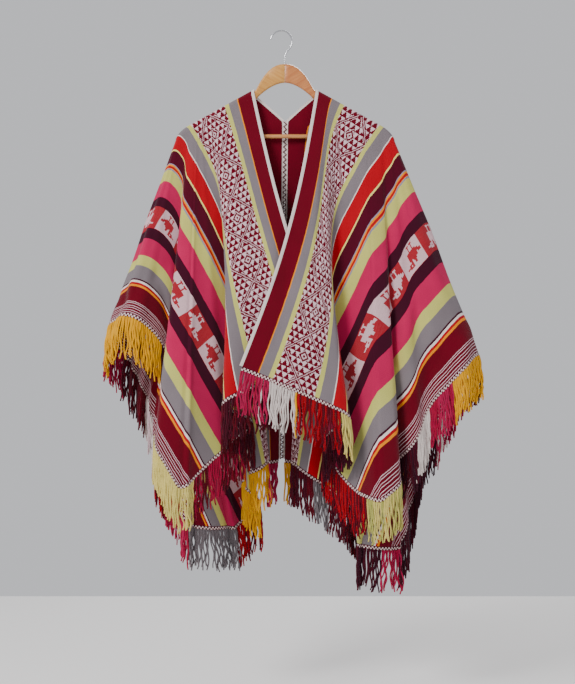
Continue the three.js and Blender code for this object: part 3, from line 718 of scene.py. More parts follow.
@dataclass(frozen=True)
class Drape:
    """How one panel hangs: its folds, its creases and how finely it is drawn.

    Attributes:
        hand: 1 for the panel on the right of the view, -1 for the other.
        front: Folds of the front half, from the neck edge to the shoulder.
        back: Folds of the back half, from the neck edge outward.
        creases: Small creases laid on the folds.
        pleats: Small pleats between the folds.

    The cut (front_length, back_length and width, in millimetres) was fitted to the area of these folds. It isn't
    measured: a real panel of this kind reads as about 650 by 1400, whose cloth would need deeper folds than these.
    """

    hand: int
    front: tuple[Fold, ...]
    back: tuple[Fold, ...]
    creases: tuple[Crease, ...]
    pleats: tuple[Pleats, ...]
    line: ShoulderLine = ShoulderLine()
    front_length: float = 595.0
    back_length: float = 755.0
    width: float = 600.0
    arc_steps: int = 4
    levels: int = 72
    bend_points: int = 12
    flat_pitch: float = 0.1
    flare: float = 1.4
    collar: float = 0.07
    shared_arc: float = 0.2
    seam_x: float = 7.1
    seam_half: float = 6.45
    flutter: float = 1.5
    crease_top: float = 0.45
    sharp: float = 0.47
    least_bend: float = 2.2
    ease_rounds: int = 160

    def fold_line(self, fold: Fold, face: Face) -> tuple[np.ndarray, np.ndarray]:
        """Points and cloth places of one fold, from the shoulder line to the rim.

        Args:
            fold: The fold.
            face: Half of the panel that it lies on.

        Returns:
            Points in millimetres and places across and along in millimetres.
        """
        side = face.value
        crest = self.line.point(fold.top, self.hand)
        shared = fold.name == "shoulder"
        radius = self.line.radius * (self.shared_arc if shared else 1.0)
        start = crest + np.array((0.0, 0.0 if shared else side * radius, -radius))
        points = []
        for step in range(self.arc_steps):
            turn = step / self.arc_steps * math.pi / 2
            swing = np.array((0.0, side * radius * math.sin(turn), -radius * (1 - math.cos(turn))))
            points.append(crest + (start - crest) * step / self.arc_steps if shared else crest + swing)
        seam = self.seam_x + self.hand * self.seam_half
        pull = fold.pull * (self.line.point(0.0, self.hand)[0] - seam)
        end = np.array(fold.end, dtype=float)
        for step in range(self.levels + 1):
            level = step / self.levels
            point = start + (end - start) * level
            point[1] = start[1] + (end[1] - start[1]) * level**self.flare
            sag = math.sin(math.pi * level)
            point[0] += fold.bow[0] * sag - pull * (1 - level) * min(1.0, level / self.collar)
            point[2] += fold.bow[1] * sag
            points.append(point)
        placed = np.array(points)
        lengths = np.linalg.norm(np.diff(placed, axis=0), axis=1)
        share = np.concatenate(((0.0,), np.cumsum(lengths))) / lengths.sum()
        reach = self.front_length if face is Face.FRONT else self.back_length
        last = (fold.along, reach) if fold.rim is Rim.HEM else (self.width, fold.along)
        across = fold.top + (last[0] - fold.top) * share
        return placed, np.stack((across, -side * last[1] * share), axis=1)

    def weights(self, soft: Sequence[float]) -> tuple[np.ndarray, list[int]]:
        """Shares of the fold points in each point of a softly bent section.

        Args:
            soft: Roundness of each fold.

        Returns:
            One row of shares a point, and the column of each fold.
        """
        count = len(soft)
        unit = np.eye(count)
        rows = [unit[0]]
        marks = [0]

        def flat(target: np.ndarray, share: float) -> None:
            """Adds the flat stretch up to a target."""
            if share < 0.01:
                return
            parts = max(1, round(share / self.flat_pitch))
            first = rows[-1]
            rows.extend(first + (target - first) * (part + 1) / parts for part in range(parts))

        last = 0.0
        for index in range(1, count - 1):
            here, bend = unit[index], soft[index]
            before = here + (unit[index - 1] - here) * bend
            after = here + (unit[index + 1] - here) * bend
            flat(before, 1.0 - last - bend)
            for step in range(1, self.bend_points + 1):
                share = step / self.bend_points
                first = before + (here - before) * share
                second = here + (after - here) * share
                rows.append(first + (second - first) * share)
            marks.append(len(rows) - 1 - self.bend_points // 2)
            last = bend
        flat(unit[-1], 1.0 - last)
        marks.append(len(rows) - 1)
        return np.array(rows), marks

    def relief(self, cloth: np.ndarray) -> np.ndarray:
        """Height of the creases and of the cloth's own unevenness, in millimetres."""
        height = np.zeros(cloth.shape[:2])
        for crease in self.creases:
            start, end = np.array(crease.start), np.array(crease.end)
            way = end - start
            share = np.clip(((cloth - start) @ way) / (way @ way), 0.0, 1.0)
            apart = np.linalg.norm(cloth - (start + share[..., None] * way), axis=2)
            swell = 0.55 + 0.45 * np.sin(math.pi * share)
            height += crease.height * swell * np.exp(-((apart / crease.half) ** 2))
        across, along = cloth[..., 0], cloth[..., 1]
        waves = np.sin(across / 41.0 + along / 67.0) + np.sin(along / 53.0 - across / 29.0 + 1.7)
        return height + self.flutter * 0.5 * waves

    def pleated(self, marks: Sequence[int], columns: int) -> np.ndarray:
        """Height of the small pleats at the rim by column, in millimetres."""
        height = np.zeros(columns)
        for pleats in self.pleats:
            first, last = marks[pleats.fold], marks[pleats.fold + 1]
            share = np.linspace(0.0, 1.0, last - first + 1)
            height[first : last + 1] += pleats.height * np.sin(math.pi * pleats.count * share) ** 2
        return height

    def calm(self, marks: Sequence[int], soft: Sequence[float], columns: int) -> np.ndarray:
        """Share of the creases that each column takes: little beside a sharp fold, where layers lie close."""
        share = np.ones(columns)
        places = np.arange(columns)
        for number, mark in enumerate(marks[1:-1], start=1):
            if soft[number] < self.sharp:
                before = (mark - places) / (mark - marks[number - 1])
                after = (places - mark) / (marks[number + 1] - mark)
                share *= np.clip(np.maximum(before, after), 0.0, 1.0)
        return share

    def eased(self, points: np.ndarray) -> np.ndarray:
        """Opens every bend that is tighter than the cloth can take.

        Args:
            points: Rings of points in metres.

        Returns:
            The rings with their tightest bends rounded off.
        """
        tightest = 1.0 / (self.least_bend * MM)
        for _ in range(self.ease_rounds):
            before, here, after = points[:, :-2], points[:, 1:-1], points[:, 2:]
            toward = (before + after) / 2 - here
            reach = np.linalg.norm(after - before, axis=2, keepdims=True) / 2
            bend = 2 * np.linalg.norm(toward, axis=2, keepdims=True) / np.maximum(reach, 1e-5) ** 2
            share = np.clip((bend / tightest - 1.0) * 0.5, 0.0, 0.5)
            share[0] = 0.0
            points = points.copy()
            points[:, 1:-1] = here + toward * share
        return points

    def surface(self) -> Surface:
        """The draped sheet, in metres."""
        back = tuple(reversed(self.back))
        lines = [self.fold_line(fold, Face.FRONT) for fold in self.front]
        lines += [self.fold_line(fold, Face.BACK) for fold in back]
        soft = [fold.soft for fold in self.front + back]
        shares, marks = self.weights(soft)
        corners = np.stack([placed for placed, _ in lines], axis=1)
        places = np.stack([cloth for _, cloth in lines], axis=1)
        points = np.einsum("cf,lfk->lck", shares, corners)
        cloth = np.einsum("cf,lfk->lck", shares, places)
        sheet = Surface(points * MM, cloth * MM, marks, self.hand)
        level = np.clip((np.arange(points.shape[0]) - self.arc_steps) / self.levels / self.crease_top, 0.0, 1.0)
        ease = level * level * (3 - 2 * level)
        fall = np.clip((np.arange(points.shape[0]) - self.arc_steps) / self.levels, 0.0, 1.0)
        calm = self.calm(marks, soft, points.shape[1])
        height = self.relief(cloth) * ease[:, None] * calm + self.pleated(marks, points.shape[1]) * fall[:, None]
        sheet.points = self.eased(sheet.points + sheet.normals() * (height * MM)[..., None])
        return sheet


# ---------------------------------------------------------------------------------------------------
# Mesh makers


def distances(route: np.ndarray) -> np.ndarray:
    """Distance of each point from the first, along a route."""
    return np.concatenate(((0.0,), np.cumsum(np.linalg.norm(np.diff(route, axis=0), axis=1))))


def at_distance(place: float, run: np.ndarray, values: np.ndarray) -> np.ndarray:
    """Vector at one distance along a route.

    Args:
        place: The distance.
        run: Distance of each point of the route.
        values: The vector at each point.

    Returns:
        The vector between the two nearest points.
    """
    return np.array([np.interp(place, run, values[:, axis]) for axis in range(3)])


def deselect() -> None:
    """Leaves nothing selected."""
    if bpy.context.object and bpy.context.object.mode != "OBJECT":
        bpy.ops.object.mode_set(mode="OBJECT")
    bpy.ops.object.select_all(action="DESELECT")


def pick(piece: Any) -> None:
    """Selects one piece alone and makes it the active one."""
    deselect()
    piece.select_set(True)
    bpy.context.view_layer.objects.active = piece


def merge_doubles(piece: Any, chosen: Optional[np.ndarray] = None, reach: float = 1e-6) -> None:
    """Merges points that lie on each other, and turns the faces the same way.

    Args:
        piece: The mesh object.
        chosen: Flags of the points to merge; all when left out.
        reach: How far apart merged points may be.
    """
    pick(piece)
    if chosen is not None:
        piece.data.polygons.foreach_set("select", np.zeros(len(piece.data.polygons), dtype=bool))
        piece.data.edges.foreach_set("select", np.zeros(len(piece.data.edges), dtype=bool))
        piece.data.vertices.foreach_set("select", chosen)
    bpy.ops.object.mode_set(mode="EDIT")
    bpy.ops.mesh.select_mode(type="VERT")
    if chosen is None:
        bpy.ops.mesh.select_all(action="SELECT")
    bpy.ops.mesh.remove_doubles(threshold=reach)
    bpy.ops.mesh.select_all(action="SELECT")
    bpy.ops.mesh.normals_make_consistent(inside=False)
    bpy.ops.object.mode_set(mode="OBJECT")


def grid_sheet(name: str, points: np.ndarray, cloth: np.ndarray) -> Any:
    """A grid primitive laid out over rows and columns of points.

    Args:
        name: The object's name.
        points: Places in metres, by row and column.
        cloth: Map places, by row and column.

    Returns:
        The new object.
    """
    rows, columns = points.shape[:2]
    deselect()
    bpy.ops.mesh.primitive_grid_add(x_subdivisions=columns - 1, y_subdivisions=rows - 1, size=1)
    piece = bpy.context.object
    piece.name = name
    piece.data.name = name
    flat = np.empty(rows * columns * 3)
    piece.data.vertices.foreach_get("co", flat)
    start = flat.reshape(-1, 3)
    column = np.rint((start[:, 0] + 0.5) * (columns - 1)).astype(int)
    row = np.rint((start[:, 1] + 0.5) * (rows - 1)).astype(int)
    piece.data.vertices.foreach_set("co", points[row, column].astype(np.float32).ravel())
    loops = np.empty(len(piece.data.loops), dtype=np.int32)
    piece.data.loops.foreach_get("vertex_index", loops)
    layer = piece.data.uv_layers[0]
    layer.name = "cloth"
    layer.data.foreach_set("uv", cloth[row[loops], column[loops]].astype(np.float32).ravel())
    piece.data.update()
    return piece


def thicken(piece: Any, thickness: float) -> None:
    """Gives a sheet its wall, half to each side."""
    pick(piece)
    solid = piece.modifiers.new("wall", "SOLIDIFY")
    solid.thickness = thickness
    solid.offset = 0.0
    bpy.ops.object.modifier_apply(modifier="wall")


def smooth(piece: Any, degrees: float = 40.0) -> None:
    """Shades a piece smooth but for its sharp edges."""
    pick(piece)
    bpy.ops.object.shade_smooth_by_angle(angle=math.radians(degrees))


def give(piece: Any, materials: Iterable[Any]) -> None:
    """Puts these materials on a piece, in order."""
    if len(piece.data.materials):
        piece.data.materials.clear()
    for material in materials:
        piece.data.materials.append(material)


def enter(piece: Any, node: str) -> None:
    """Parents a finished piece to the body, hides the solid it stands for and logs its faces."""
    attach(piece, BODY)
    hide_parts(node)
    log.info("%s stands for %s with %d faces", piece.name, node, len(piece.data.polygons))


@dataclass
class Strand:
    """Route and thickness of one round yarn or wire.

    Attributes:
        route: Places along its middle, in metres.
        radius: Its radius.
        tone: Number of its material.
        taper: Radius at its far end as a share of the full one.
    """

    route: np.ndarray
    radius: float
    tone: int = 0
    taper: float = 1.0


def roll_strands(name: str, strands: Sequence[Strand], sides: int) -> Any:
    """Makes round strands of equal numbers of points from one grid, cut into strips and rolled.

    Args:
        name: The object's name.
        strands: The strands.
        sides: Sides of each.

    Returns:
        The new object, closed at every end.
    """
    steps = len(strands[0].route)
    width = sides + 1
    points = np.zeros((steps + 2, width * len(strands), 3))
    cloth = np.zeros((steps + 2, width * len(strands), 2))
    turns = 2 * math.pi * np.arange(width) / sides
    turns[-1] = 0.0
    for number, strand in enumerate(strands):
        route = strand.route
        ways = np.gradient(route, axis=0)
        ways /= np.linalg.norm(ways, axis=1, keepdims=True)
        side = np.cross(ways[0], (0.31, 0.93, 0.19))
        columns = slice(number * width, (number + 1) * width)
        run = distances(route)
        for step in range(steps):
            side = side - ways[step] * (side @ ways[step])
            side /= np.linalg.norm(side)
            other = np.cross(ways[step], side)
            radius = strand.radius * (1 + (strand.taper - 1) * (step / (steps - 1)) ** 2)
            ring = np.outer(np.cos(turns), side) + np.outer(np.sin(turns), other)
            points[step + 1, columns] = route[step] + radius * ring
            cloth[step + 1, columns, 0] = np.arange(width) / sides
            cloth[step + 1, columns, 1] = run[step]
        points[0, columns] = route[0]
        points[-1, columns] = route[-1]
        cloth[0, columns] = (0.5, 0.0)
        cloth[-1, columns] = (0.5, run[-1])
    piece = grid_sheet(name, points, cloth)
    owner = vertex_columns(piece, points, width)
    corners = np.empty(len(piece.data.loops), dtype=np.int32)
    piece.data.loops.foreach_get("vertex_index", corners)
    owners = owner[corners].reshape(-1, 4)
    between = owners.min(axis=1) != owners.max(axis=1)
    tones = np.array([strand.tone for strand in strands], dtype=np.int32)
    piece.data.polygons.foreach_set("material_index", tones[owners.min(axis=1)])
    pick(piece)
    bpy.ops.object.mode_set(mode="EDIT")
    bpy.ops.mesh.select_mode(type="FACE")
    bpy.ops.mesh.select_all(action="DESELECT")
    bpy.ops.object.mode_set(mode="OBJECT")
    piece.data.polygons.foreach_set("select", between)
    bpy.ops.object.mode_set(mode="EDIT")
    bpy.ops.mesh.delete(type="FACE")
    bpy.ops.object.mode_set(mode="OBJECT")
    merge_doubles(piece)
    return piece


def vertex_columns(piece: Any, points: np.ndarray, width: int) -> np.ndarray:
    """Strand number of each vertex of a fresh grid, by its row-by-row order."""
    rows, columns = points.shape[:2]
    flat = np.empty(rows * columns * 3, dtype=np.float32)
    piece.data.vertices.foreach_get("co", flat)
    order = np.arange(rows * columns)
    by_rows = np.allclose(flat.reshape(rows, columns, 3), points, atol=1e-5)
    return (order % columns if by_rows else order // rows) // width


# ---------------------------------------------------------------------------------------------------
# Sub-assemblies


@dataclass(frozen=True)
class Yarns:
    """Yarns that the fringe has up to a place along an edge, in millimetres."""

    until: float
    dyes: tuple[Dye, ...]


@dataclass(frozen=True)
class FringeStretch:
    """One stretch of the rim: its edge, the folds at its ends and its yarns."""

    node: str
    first: int
    last: int
    rim: Rim
    yarns: tuple[Yarns, ...]


CORNER, SHOULDER, BACK_CORNER, BACK_INNER = 5, 12, 18, 24

RIGHT_FRINGE = (
    FringeStretch("right_front_hem_fringe", 0, CORNER, HEM, (
        Yarns(43, (Dye.PINK, Dye.ROSE)), Yarns(58, (Dye.PINK, Dye.CREAM)), Yarns(100, (Dye.CREAM,)),
        Yarns(112, (Dye.CREAM, Dye.GOLD)), Yarns(200, (Dye.RED, Dye.RED, Dye.CRIMSON)),
        Yarns(238, (Dye.PALE_YELLOW,)), Yarns(372, (Dye.MAROON, Dye.WINE)),
        Yarns(560, (Dye.RED, Dye.CRIMSON)), Yarns(600, (Dye.LIME, Dye.PALE_YELLOW)),
    )),
    FringeStretch("right_front_side_fringe", CORNER, SHOULDER, SIDE, (
        Yarns(26, (Dye.PINK, Dye.MAROON)), Yarns(180, (Dye.GOLD,)), Yarns(196, (Dye.GOLD, Dye.PINK)),
        Yarns(275, (Dye.PINK, Dye.ROSE)), Yarns(350, (Dye.CREAM,)), Yarns(475, (Dye.MAROON, Dye.WINE)),
        Yarns(600, (Dye.LIME, Dye.PALE_YELLOW)),
    )),
    FringeStretch("right_back_side_fringe", SHOULDER, BACK_CORNER, SIDE, (
        Yarns(40, (Dye.MAROON, Dye.PINK)), Yarns(230, (Dye.PINK, Dye.ROSE)), Yarns(350, (Dye.CREAM, Dye.PINK)),
        Yarns(800, (Dye.WINE, Dye.MAROON)),
    )),
    FringeStretch("right_back_hem_fringe", BACK_CORNER, BACK_INNER, HEM, (
        Yarns(20, (Dye.GOLD,)), Yarns(205, (Dye.CRIMSON, Dye.WINE)), Yarns(262, (Dye.GREY,)),
        Yarns(440, (Dye.WINE, Dye.CRIMSON)), Yarns(545, (Dye.MAROON, Dye.WINE)), Yarns(600, (Dye.ROSE, Dye.PINK)),
    )),
)
LEFT_FRINGE = (
    FringeStretch("left_front_hem_fringe", 0, CORNER, HEM, (
        Yarns(110, (Dye.RED, Dye.CRIMSON)), Yarns(390, (Dye.CRIMSON, Dye.WINE)),
        Yarns(560, (Dye.ROSE, Dye.CRIMSON)), Yarns(600, (Dye.PALE_YELLOW,)),
    )),
    FringeStretch("left_front_side_fringe", CORNER, SHOULDER, SIDE, (
        Yarns(262, (Dye.GOLD,)), Yarns(330, (Dye.MAROON, Dye.WINE)), Yarns(400, (Dye.RED, Dye.CRIMSON)),
        Yarns(600, (Dye.PALE_YELLOW,)),
    )),
    FringeStretch("left_back_side_fringe", SHOULDER, BACK_CORNER, SIDE, (
        Yarns(150, (Dye.PINK, Dye.ROSE)), Yarns(310, (Dye.WINE, Dye.CRIMSON)), Yarns(450, (Dye.BLUSH, Dye.CREAM)),
        Yarns(590, (Dye.RED, Dye.CRIMSON)), Yarns(800, (Dye.ROSE, Dye.PINK)),
    )),
    FringeStretch("left_back_hem_fringe", BACK_CORNER, BACK_INNER, HEM, (
        Yarns(112, (Dye.PINK, Dye.ROSE)), Yarns(300, (Dye.GOLD,)), Yarns(445, (Dye.RED, Dye.CRIMSON)),
        Yarns(600, (Dye.GREY,)),
    )),
)


@dataclass
class Panel:
    """One woven panel with the binding of its neck edge and its fringed heading.

    Attributes:
        name: Start of its pieces' names.
        drape: How it hangs.
        fringe: The stretches of its fringe.
        seed: Seed of the fringe's unevenness.
    """

    name: str
    drape: Drape
    fringe: tuple[FringeStretch, ...]
    seed: int
    gap: float = SEAM_GAP
    binding: float = 6 * MM
    heading: float = 9 * MM
    tape_bulge: float = 0.5 * MM
    tape_points: int = 5
    yarn_pitch: float = 3.0 * MM
    yarn_radius: float = 1.95 * MM
    yarn_length: float = 86 * MM
    yarn_points: int = 13
    yarn_sides: int = 5
    scatter: float = 0.13
    clump: int = 9
    wave: float = 2.9 * MM
    layer_offset: float = 0.55 * MM
    root_depth: float = 1.5 * MM
    crest_depth: float = 1e-7
    crest_reach: float = 1e-5
    surface: Surface = field(init=False)

    def __post_init__(self) -> None:
        """Works the drape out once."""
        self.surface = self.drape.surface()

    def tape(self, name: str, edge: np.ndarray, out: np.ndarray, normal: np.ndarray, width: float) -> Any:
        """A narrow woven strip beside an edge of the cloth.

        Args:
            name: The object's name.
            edge: Points of the edge.
            out: Unit ways out of the cloth.
            normal: Unit normals of the cloth.
            width: Width of the strip.

        Returns:
            The closed strip.
        """
        shares = np.linspace(0.0, 1.0, self.tape_points)
        reach = self.gap + shares * width
        bulge = self.tape_bulge * np.sin(math.pi * shares)
        points = edge[:, None] + out[:, None] * reach[None, :, None] + normal[:, None] * bulge[None, :, None]
        run = distances(edge)
        cloth = np.stack(np.broadcast_arrays(run[:, None], shares[None] * width), axis=2)
        piece = grid_sheet(name, points, cloth)
        merge_doubles(piece)
        thicken(piece, CLOTH)
        smooth(piece)
        return piece

    def build_cloth(self, finish: Any) -> Any:
        """The woven panel itself, with front and back joined along the shoulder crest."""
        rows, columns = self.surface.points.shape[:2]
        piece = grid_sheet(f"{self.name}_cloth", self.surface.points, self.surface.cloth)
        flat = np.empty(rows * columns * 3, dtype=np.float32)
        piece.data.vertices.foreach_get("co", flat)
        placed = flat.reshape(-1, 3)
        lowest = self.surface.points[0].astype(np.float32)[:, 2].min() - self.crest_reach
        on_crest = (np.abs(placed[:, 1]) < self.crest_depth) & (placed[:, 2] >= lowest)
        merge_doubles(piece, on_crest, self.crest_reach)
        thicken(piece, CLOTH)
        smooth(piece, 50.0)
        give(piece, [finish])
        enter(piece, f"{self.name}_panel")
        return piece

    def build_binding(self, finish: Any) -> Any:
        """The pale binding round the neck edge."""
        points, normals = self.surface.points, self.surface.normals()
        edge = np.concatenate((points[::-1, 0], points[1:, -1]))
        beside = np.concatenate((points[::-1, 1], points[1:, -2]))
        normal = np.concatenate((normals[::-1, 0], normals[1:, -1]))
        out = edge - beside
        out /= np.linalg.norm(out, axis=1, keepdims=True)
        piece = self.tape(f"{self.name}_binding_tape", edge, out, normal, self.binding)
        give(piece, [finish])
        enter(piece, f"{self.name}_neck_binding")
        return piece

    def rim(self, stretch: FringeStretch) -> tuple[np.ndarray, ...]:
        """Edge points, ways out, normals and places along the edge of one stretch of the rim."""
        first, last = self.surface.marks[stretch.first], self.surface.marks[stretch.last]
        span = slice(first, last + 1)
        edge = self.surface.points[-1, span]
        out = edge - self.surface.points[-3, span]
        out = out / np.linalg.norm(out, axis=1, keepdims=True)
        column = 0 if stretch.rim is Rim.HEM else 1
        return edge, out, self.surface.normals()[-1, span], np.abs(self.surface.cloth[-1, span, column]) / MM

    def build_heading(self, stretch: FringeStretch, finish: Any) -> Any:
        """The checked heading that carries one stretch of fringe."""
        edge, out, normal, _ = self.rim(stretch)
        piece = self.tape(f"{stretch.node}_heading", edge, out, normal, self.heading)
        give(piece, [finish])
        enter(piece, stretch.node)
        return piece

    def strand(self, root: np.ndarray, out: np.ndarray, side: np.ndarray, drift: float, dice: random.Random) -> Strand:
        """One yarn of the fringe, hanging from its root.

        Args:
            root: Where it leaves the heading.
            out: Unit way out of the cloth.
            side: Unit way along the rim.
            drift: How far its clump leans along the rim, as a share of its length.
            dice: Source of its unevenness.

        Returns:
            The strand.
        """
        length = self.yarn_length * (1 + dice.uniform(-1, 0.75) * self.scatter)
        step = length / (self.yarn_points - 1)
        phase, turn = dice.uniform(0, 2 * math.pi), dice.uniform(1.0, 2.3)
        depth = np.cross(side, (0.0, 0.0, -1.0))
        lean = drift + dice.uniform(-0.05, 0.05)
        place = root.copy()
        route = [place.copy()]
        for index in range(1, self.yarn_points):
            share = index / (self.yarn_points - 1)
            way = out * max(0.0, 0.9 - 1.1 * share) + np.array((0.0, 0.0, -1.0)) * (0.25 + share) + side * lean
            place = place + way / np.linalg.norm(way) * step
            bend = self.wave * share**0.5
            angle = phase + turn * 2 * math.pi * share
            route.append(place + side * bend * math.sin(angle) + depth * bend * 0.7 * math.cos(angle * 1.3))
        return Strand(np.array(route), self.yarn_radius * dice.uniform(0.85, 1.1), taper=0.75)

    def build_fringe(self, stretch: FringeStretch, yarns: dict[Dye, Any], dice: random.Random) -> Any:
        """The twisted yarns of one stretch, in their bands of colour."""
        edge, out, normal, along = self.rim(stretch)
        run = distances(edge)
        dyes = sorted({dye for part in stretch.yarns for dye in part.dyes}, key=lambda dye: dye.name)
        strands = []
        place, count, drift = self.yarn_pitch / 2, 0, 0.0
        while place < run[-1]:
            if count % self.clump == 0:
                drift = dice.uniform(-0.09, 0.09)
            here, way, face = (at_distance(place, run, part) for part in (edge, out, normal))
            ahead = at_distance(place + 1 * MM, run, edge) - here
            side = ahead / max(np.linalg.norm(ahead), 1e-9)
            if np.linalg.norm(ahead) < 1e-6:
                side = np.array((1.0, 0.0, 0.0))
            where = float(np.interp(place, run, along))
            band = next((part for part in stretch.yarns if where <= part.until), stretch.yarns[-1])
            dye = dice.choice(band.dyes)
            layer = self.layer_offset * (1 if count % 2 else -1)
            root = here + way * (self.gap + self.heading - self.root_depth) + face * layer
            yarn = self.strand(root, way, side, drift, dice)
            yarn.tone = dyes.index(dye)
            strands.append(yarn)
            count += 1
            place += self.yarn_pitch * dice.uniform(0.75, 1.25)
        piece = roll_strands(f"{stretch.node}_yarns", strands, self.yarn_sides)
        smooth(piece, 80.0)
        give(piece, [yarns[dye] for dye in dyes])
        enter(piece, stretch.node)
        return piece

    def build(self, cloth: Any, binding: Any, heading: Any, yarns: dict[Dye, Any]) -> None:
        """Builds and dresses the panel with all that is sewn to it.

        Args:
            cloth: Material of the weave.
            binding: Material of the neck binding.
            heading: Material of the checked heading.
            yarns: Materials of the fringe by dye.
        """
        dice = random.Random(self.seed)
        body = self.build_cloth(cloth)
        sewn = [self.build_binding(binding)]
        for stretch in self.fringe:
            sewn.append(self.build_heading(stretch, heading))
            sewn.append(self.build_fringe(stretch, yarns, dice))


@dataclass
class BackSeam:
    """Crimson zigzag stitching that joins the two bindings down the centre back."""

    left: Surface
    right: Surface
    first: int = 9
    half: float = 3.4 * MM
    pitch: float = 5.2 * MM
    proud: float = 1.35 * MM
    radius: float = 0.9 * MM
    steps: int = 3

    def row(self, face: int) -> list[Strand]:
        """The stitches on one face of the seam: 1 for the outer face, -1 for the inner."""
        right, left = self.right.points[self.first:, -1], self.left.points[self.first:, -1]
        out = self.right.normals()[self.first:, -1] + self.left.normals()[self.first:, -1]
        out /= np.linalg.norm(out, axis=1, keepdims=True)
        middle = (right + left) / 2
        across = right - left
        across /= np.linalg.norm(across, axis=1, keepdims=True)
        run = distances(middle)
        count = int(run[-1] / self.pitch)

        def knot(number: int) -> np.ndarray:
            """Place of one corner of the zigzag."""
            place = number * self.pitch
            base, proud, aside = (at_distance(place, run, part) for part in (middle, out, across))
            return base + proud * self.proud * face + aside * self.half * (1 if number % 2 else -1)

        strands = []
        for number in range(count):
            first, last = knot(number), knot(number + 1)
            route = np.array([first + (last - first) * step / self.steps for step in range(self.steps + 1)])
            strands.append(Strand(route, self.radius))
        return strands

    def build(self, finish: Any) -> Any:
        """Builds the stitches of both faces."""
        piece = roll_strands("back_seam_stitches", self.row(1) + self.row(-1), 6)
        smooth(piece, 60.0)
        give(piece, [finish])
        enter(piece, "right_neck_binding")
        return piece


@dataclass
class ClothesHanger:
    """Two wooden arms mitred at the middle, a trouser bar and a wire hook."""

    edge: float = 1.6 * MM
    edge_steps: int = 3
    bar_sides: int = 40
    wire_radius: float = 1.6 * MM
    hook_radius: float = 22.5 * MM
    hook_x: float = -1.5 * MM
    hook_turns: tuple[int, ...] = (168, 145, 120, 95, 70, 45, 20, -5, -30, -50)
    stem_x: float = 6 * MM
    crown_z: float = -67 * MM
    stem_sink: float = 13 * MM
    hook_points: int = 90

    def build_arm(self, node: str, finish: Any) -> Any:
        """One arm, as its solid with every edge rounded over."""
        deselect()
        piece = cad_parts[node].copy()
        piece.data = piece.data.copy()
        piece.name = f"{node}_wood"
        for key in list(piece.keys()):
            del piece[key]
        piece.parent = None
        bpy.context.scene.collection.objects.link(piece)
        merge_doubles(piece, reach=1e-5)
        pick(piece)
        round_over = piece.modifiers.new("edges", "BEVEL")
        round_over.width = self.edge
        round_over.segments = self.edge_steps
        round_over.limit_method = "ANGLE"
        round_over.angle_limit = math.radians(34)
        bpy.ops.object.modifier_apply(modifier="edges")
        smooth(piece, 42.0)
        give(piece, [finish])
        enter(piece, node)
        return piece

    def build_bar(self, finish: Any) -> Any:
        """The trouser bar between the arms."""
        low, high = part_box("trouser_bar")
        middle = (low + high) / 2
        deselect()
        bpy.ops.mesh.primitive_cylinder_add(
            vertices=self.bar_sides, radius=(high.z - low.z) / 2, depth=high.x - low.x,
            location=middle, rotation=(0.0, math.pi / 2, 0.0),
        )
        piece = bpy.context.object
        piece.name = "trouser_bar_wood"
        bpy.ops.object.transform_apply(location=True, rotation=True, scale=True)
        smooth(piece, 42.0)
        give(piece, [finish])
        enter(piece, "trouser_bar")
        return piece

    def hook_route(self) -> np.ndarray:
        """Middle line of the wire, from the open end round the loop into the wood."""
        centre = self.wire_radius - self.hook_radius
        places = [
            (self.hook_x + self.hook_radius * math.cos(math.radians(turn)), 0.0,
             centre + self.hook_radius * math.sin(math.radians(turn)))
            for turn in self.hook_turns
        ]
        places += [
            (self.stem_x + 0.6 * MM, 0.0, self.crown_z + 18 * MM),
            (self.stem_x, 0.0, self.crown_z + 8 * MM),
            (self.stem_x, 0.0, self.crown_z - self.stem_sink),
        ]
        knots = np.array(places)
        padded = np.concatenate((2 * knots[:1] - knots[1:2], knots, 2 * knots[-1:] - knots[-2:-1]))
        reach = np.linalg.norm(np.diff(padded, axis=0), axis=1) ** 0.5
        times = np.concatenate(((0.0,), np.cumsum(reach)))
        route = []
        for time in np.linspace(times[1], times[-2], self.hook_points):
            part = int(np.clip(np.searchsorted(times, time, side="right") - 1, 1, len(knots) - 1))
            t = times[part - 1 : part + 3]
            p = padded[part - 1 : part + 3]
            a = [(p[i] * (t[i + 1] - time) + p[i + 1] * (time - t[i])) / (t[i + 1] - t[i]) for i in range(3)]
            b = [(a[i] * (t[i + 2] - time) + a[i + 1] * (time - t[i])) / (t[i + 2] - t[i]) for i in range(2)]
            route.append((b[0] * (t[2] - time) + b[1] * (time - t[1])) / (t[2] - t[1]))
        return np.array(route)

    def build_hook(self, finish: Any) -> Any:
        """The bent wire."""
        piece = roll_strands("hook_wire", [Strand(self.hook_route(), self.wire_radius)], 16)
        smooth(piece, 50.0)
        give(piece, [finish])
        enter(piece, "hook")
        return piece

    def build(self, right_wood: Any, left_wood: Any, bar_wood: Any, wire: Any) -> None:
        """Builds and dresses the hanger."""
        self.build_arm("hanger_arm_right", right_wood)
        self.build_arm("hanger_arm_left", left_wood)
        self.build_bar(bar_wood)
        self.build_hook(wire)


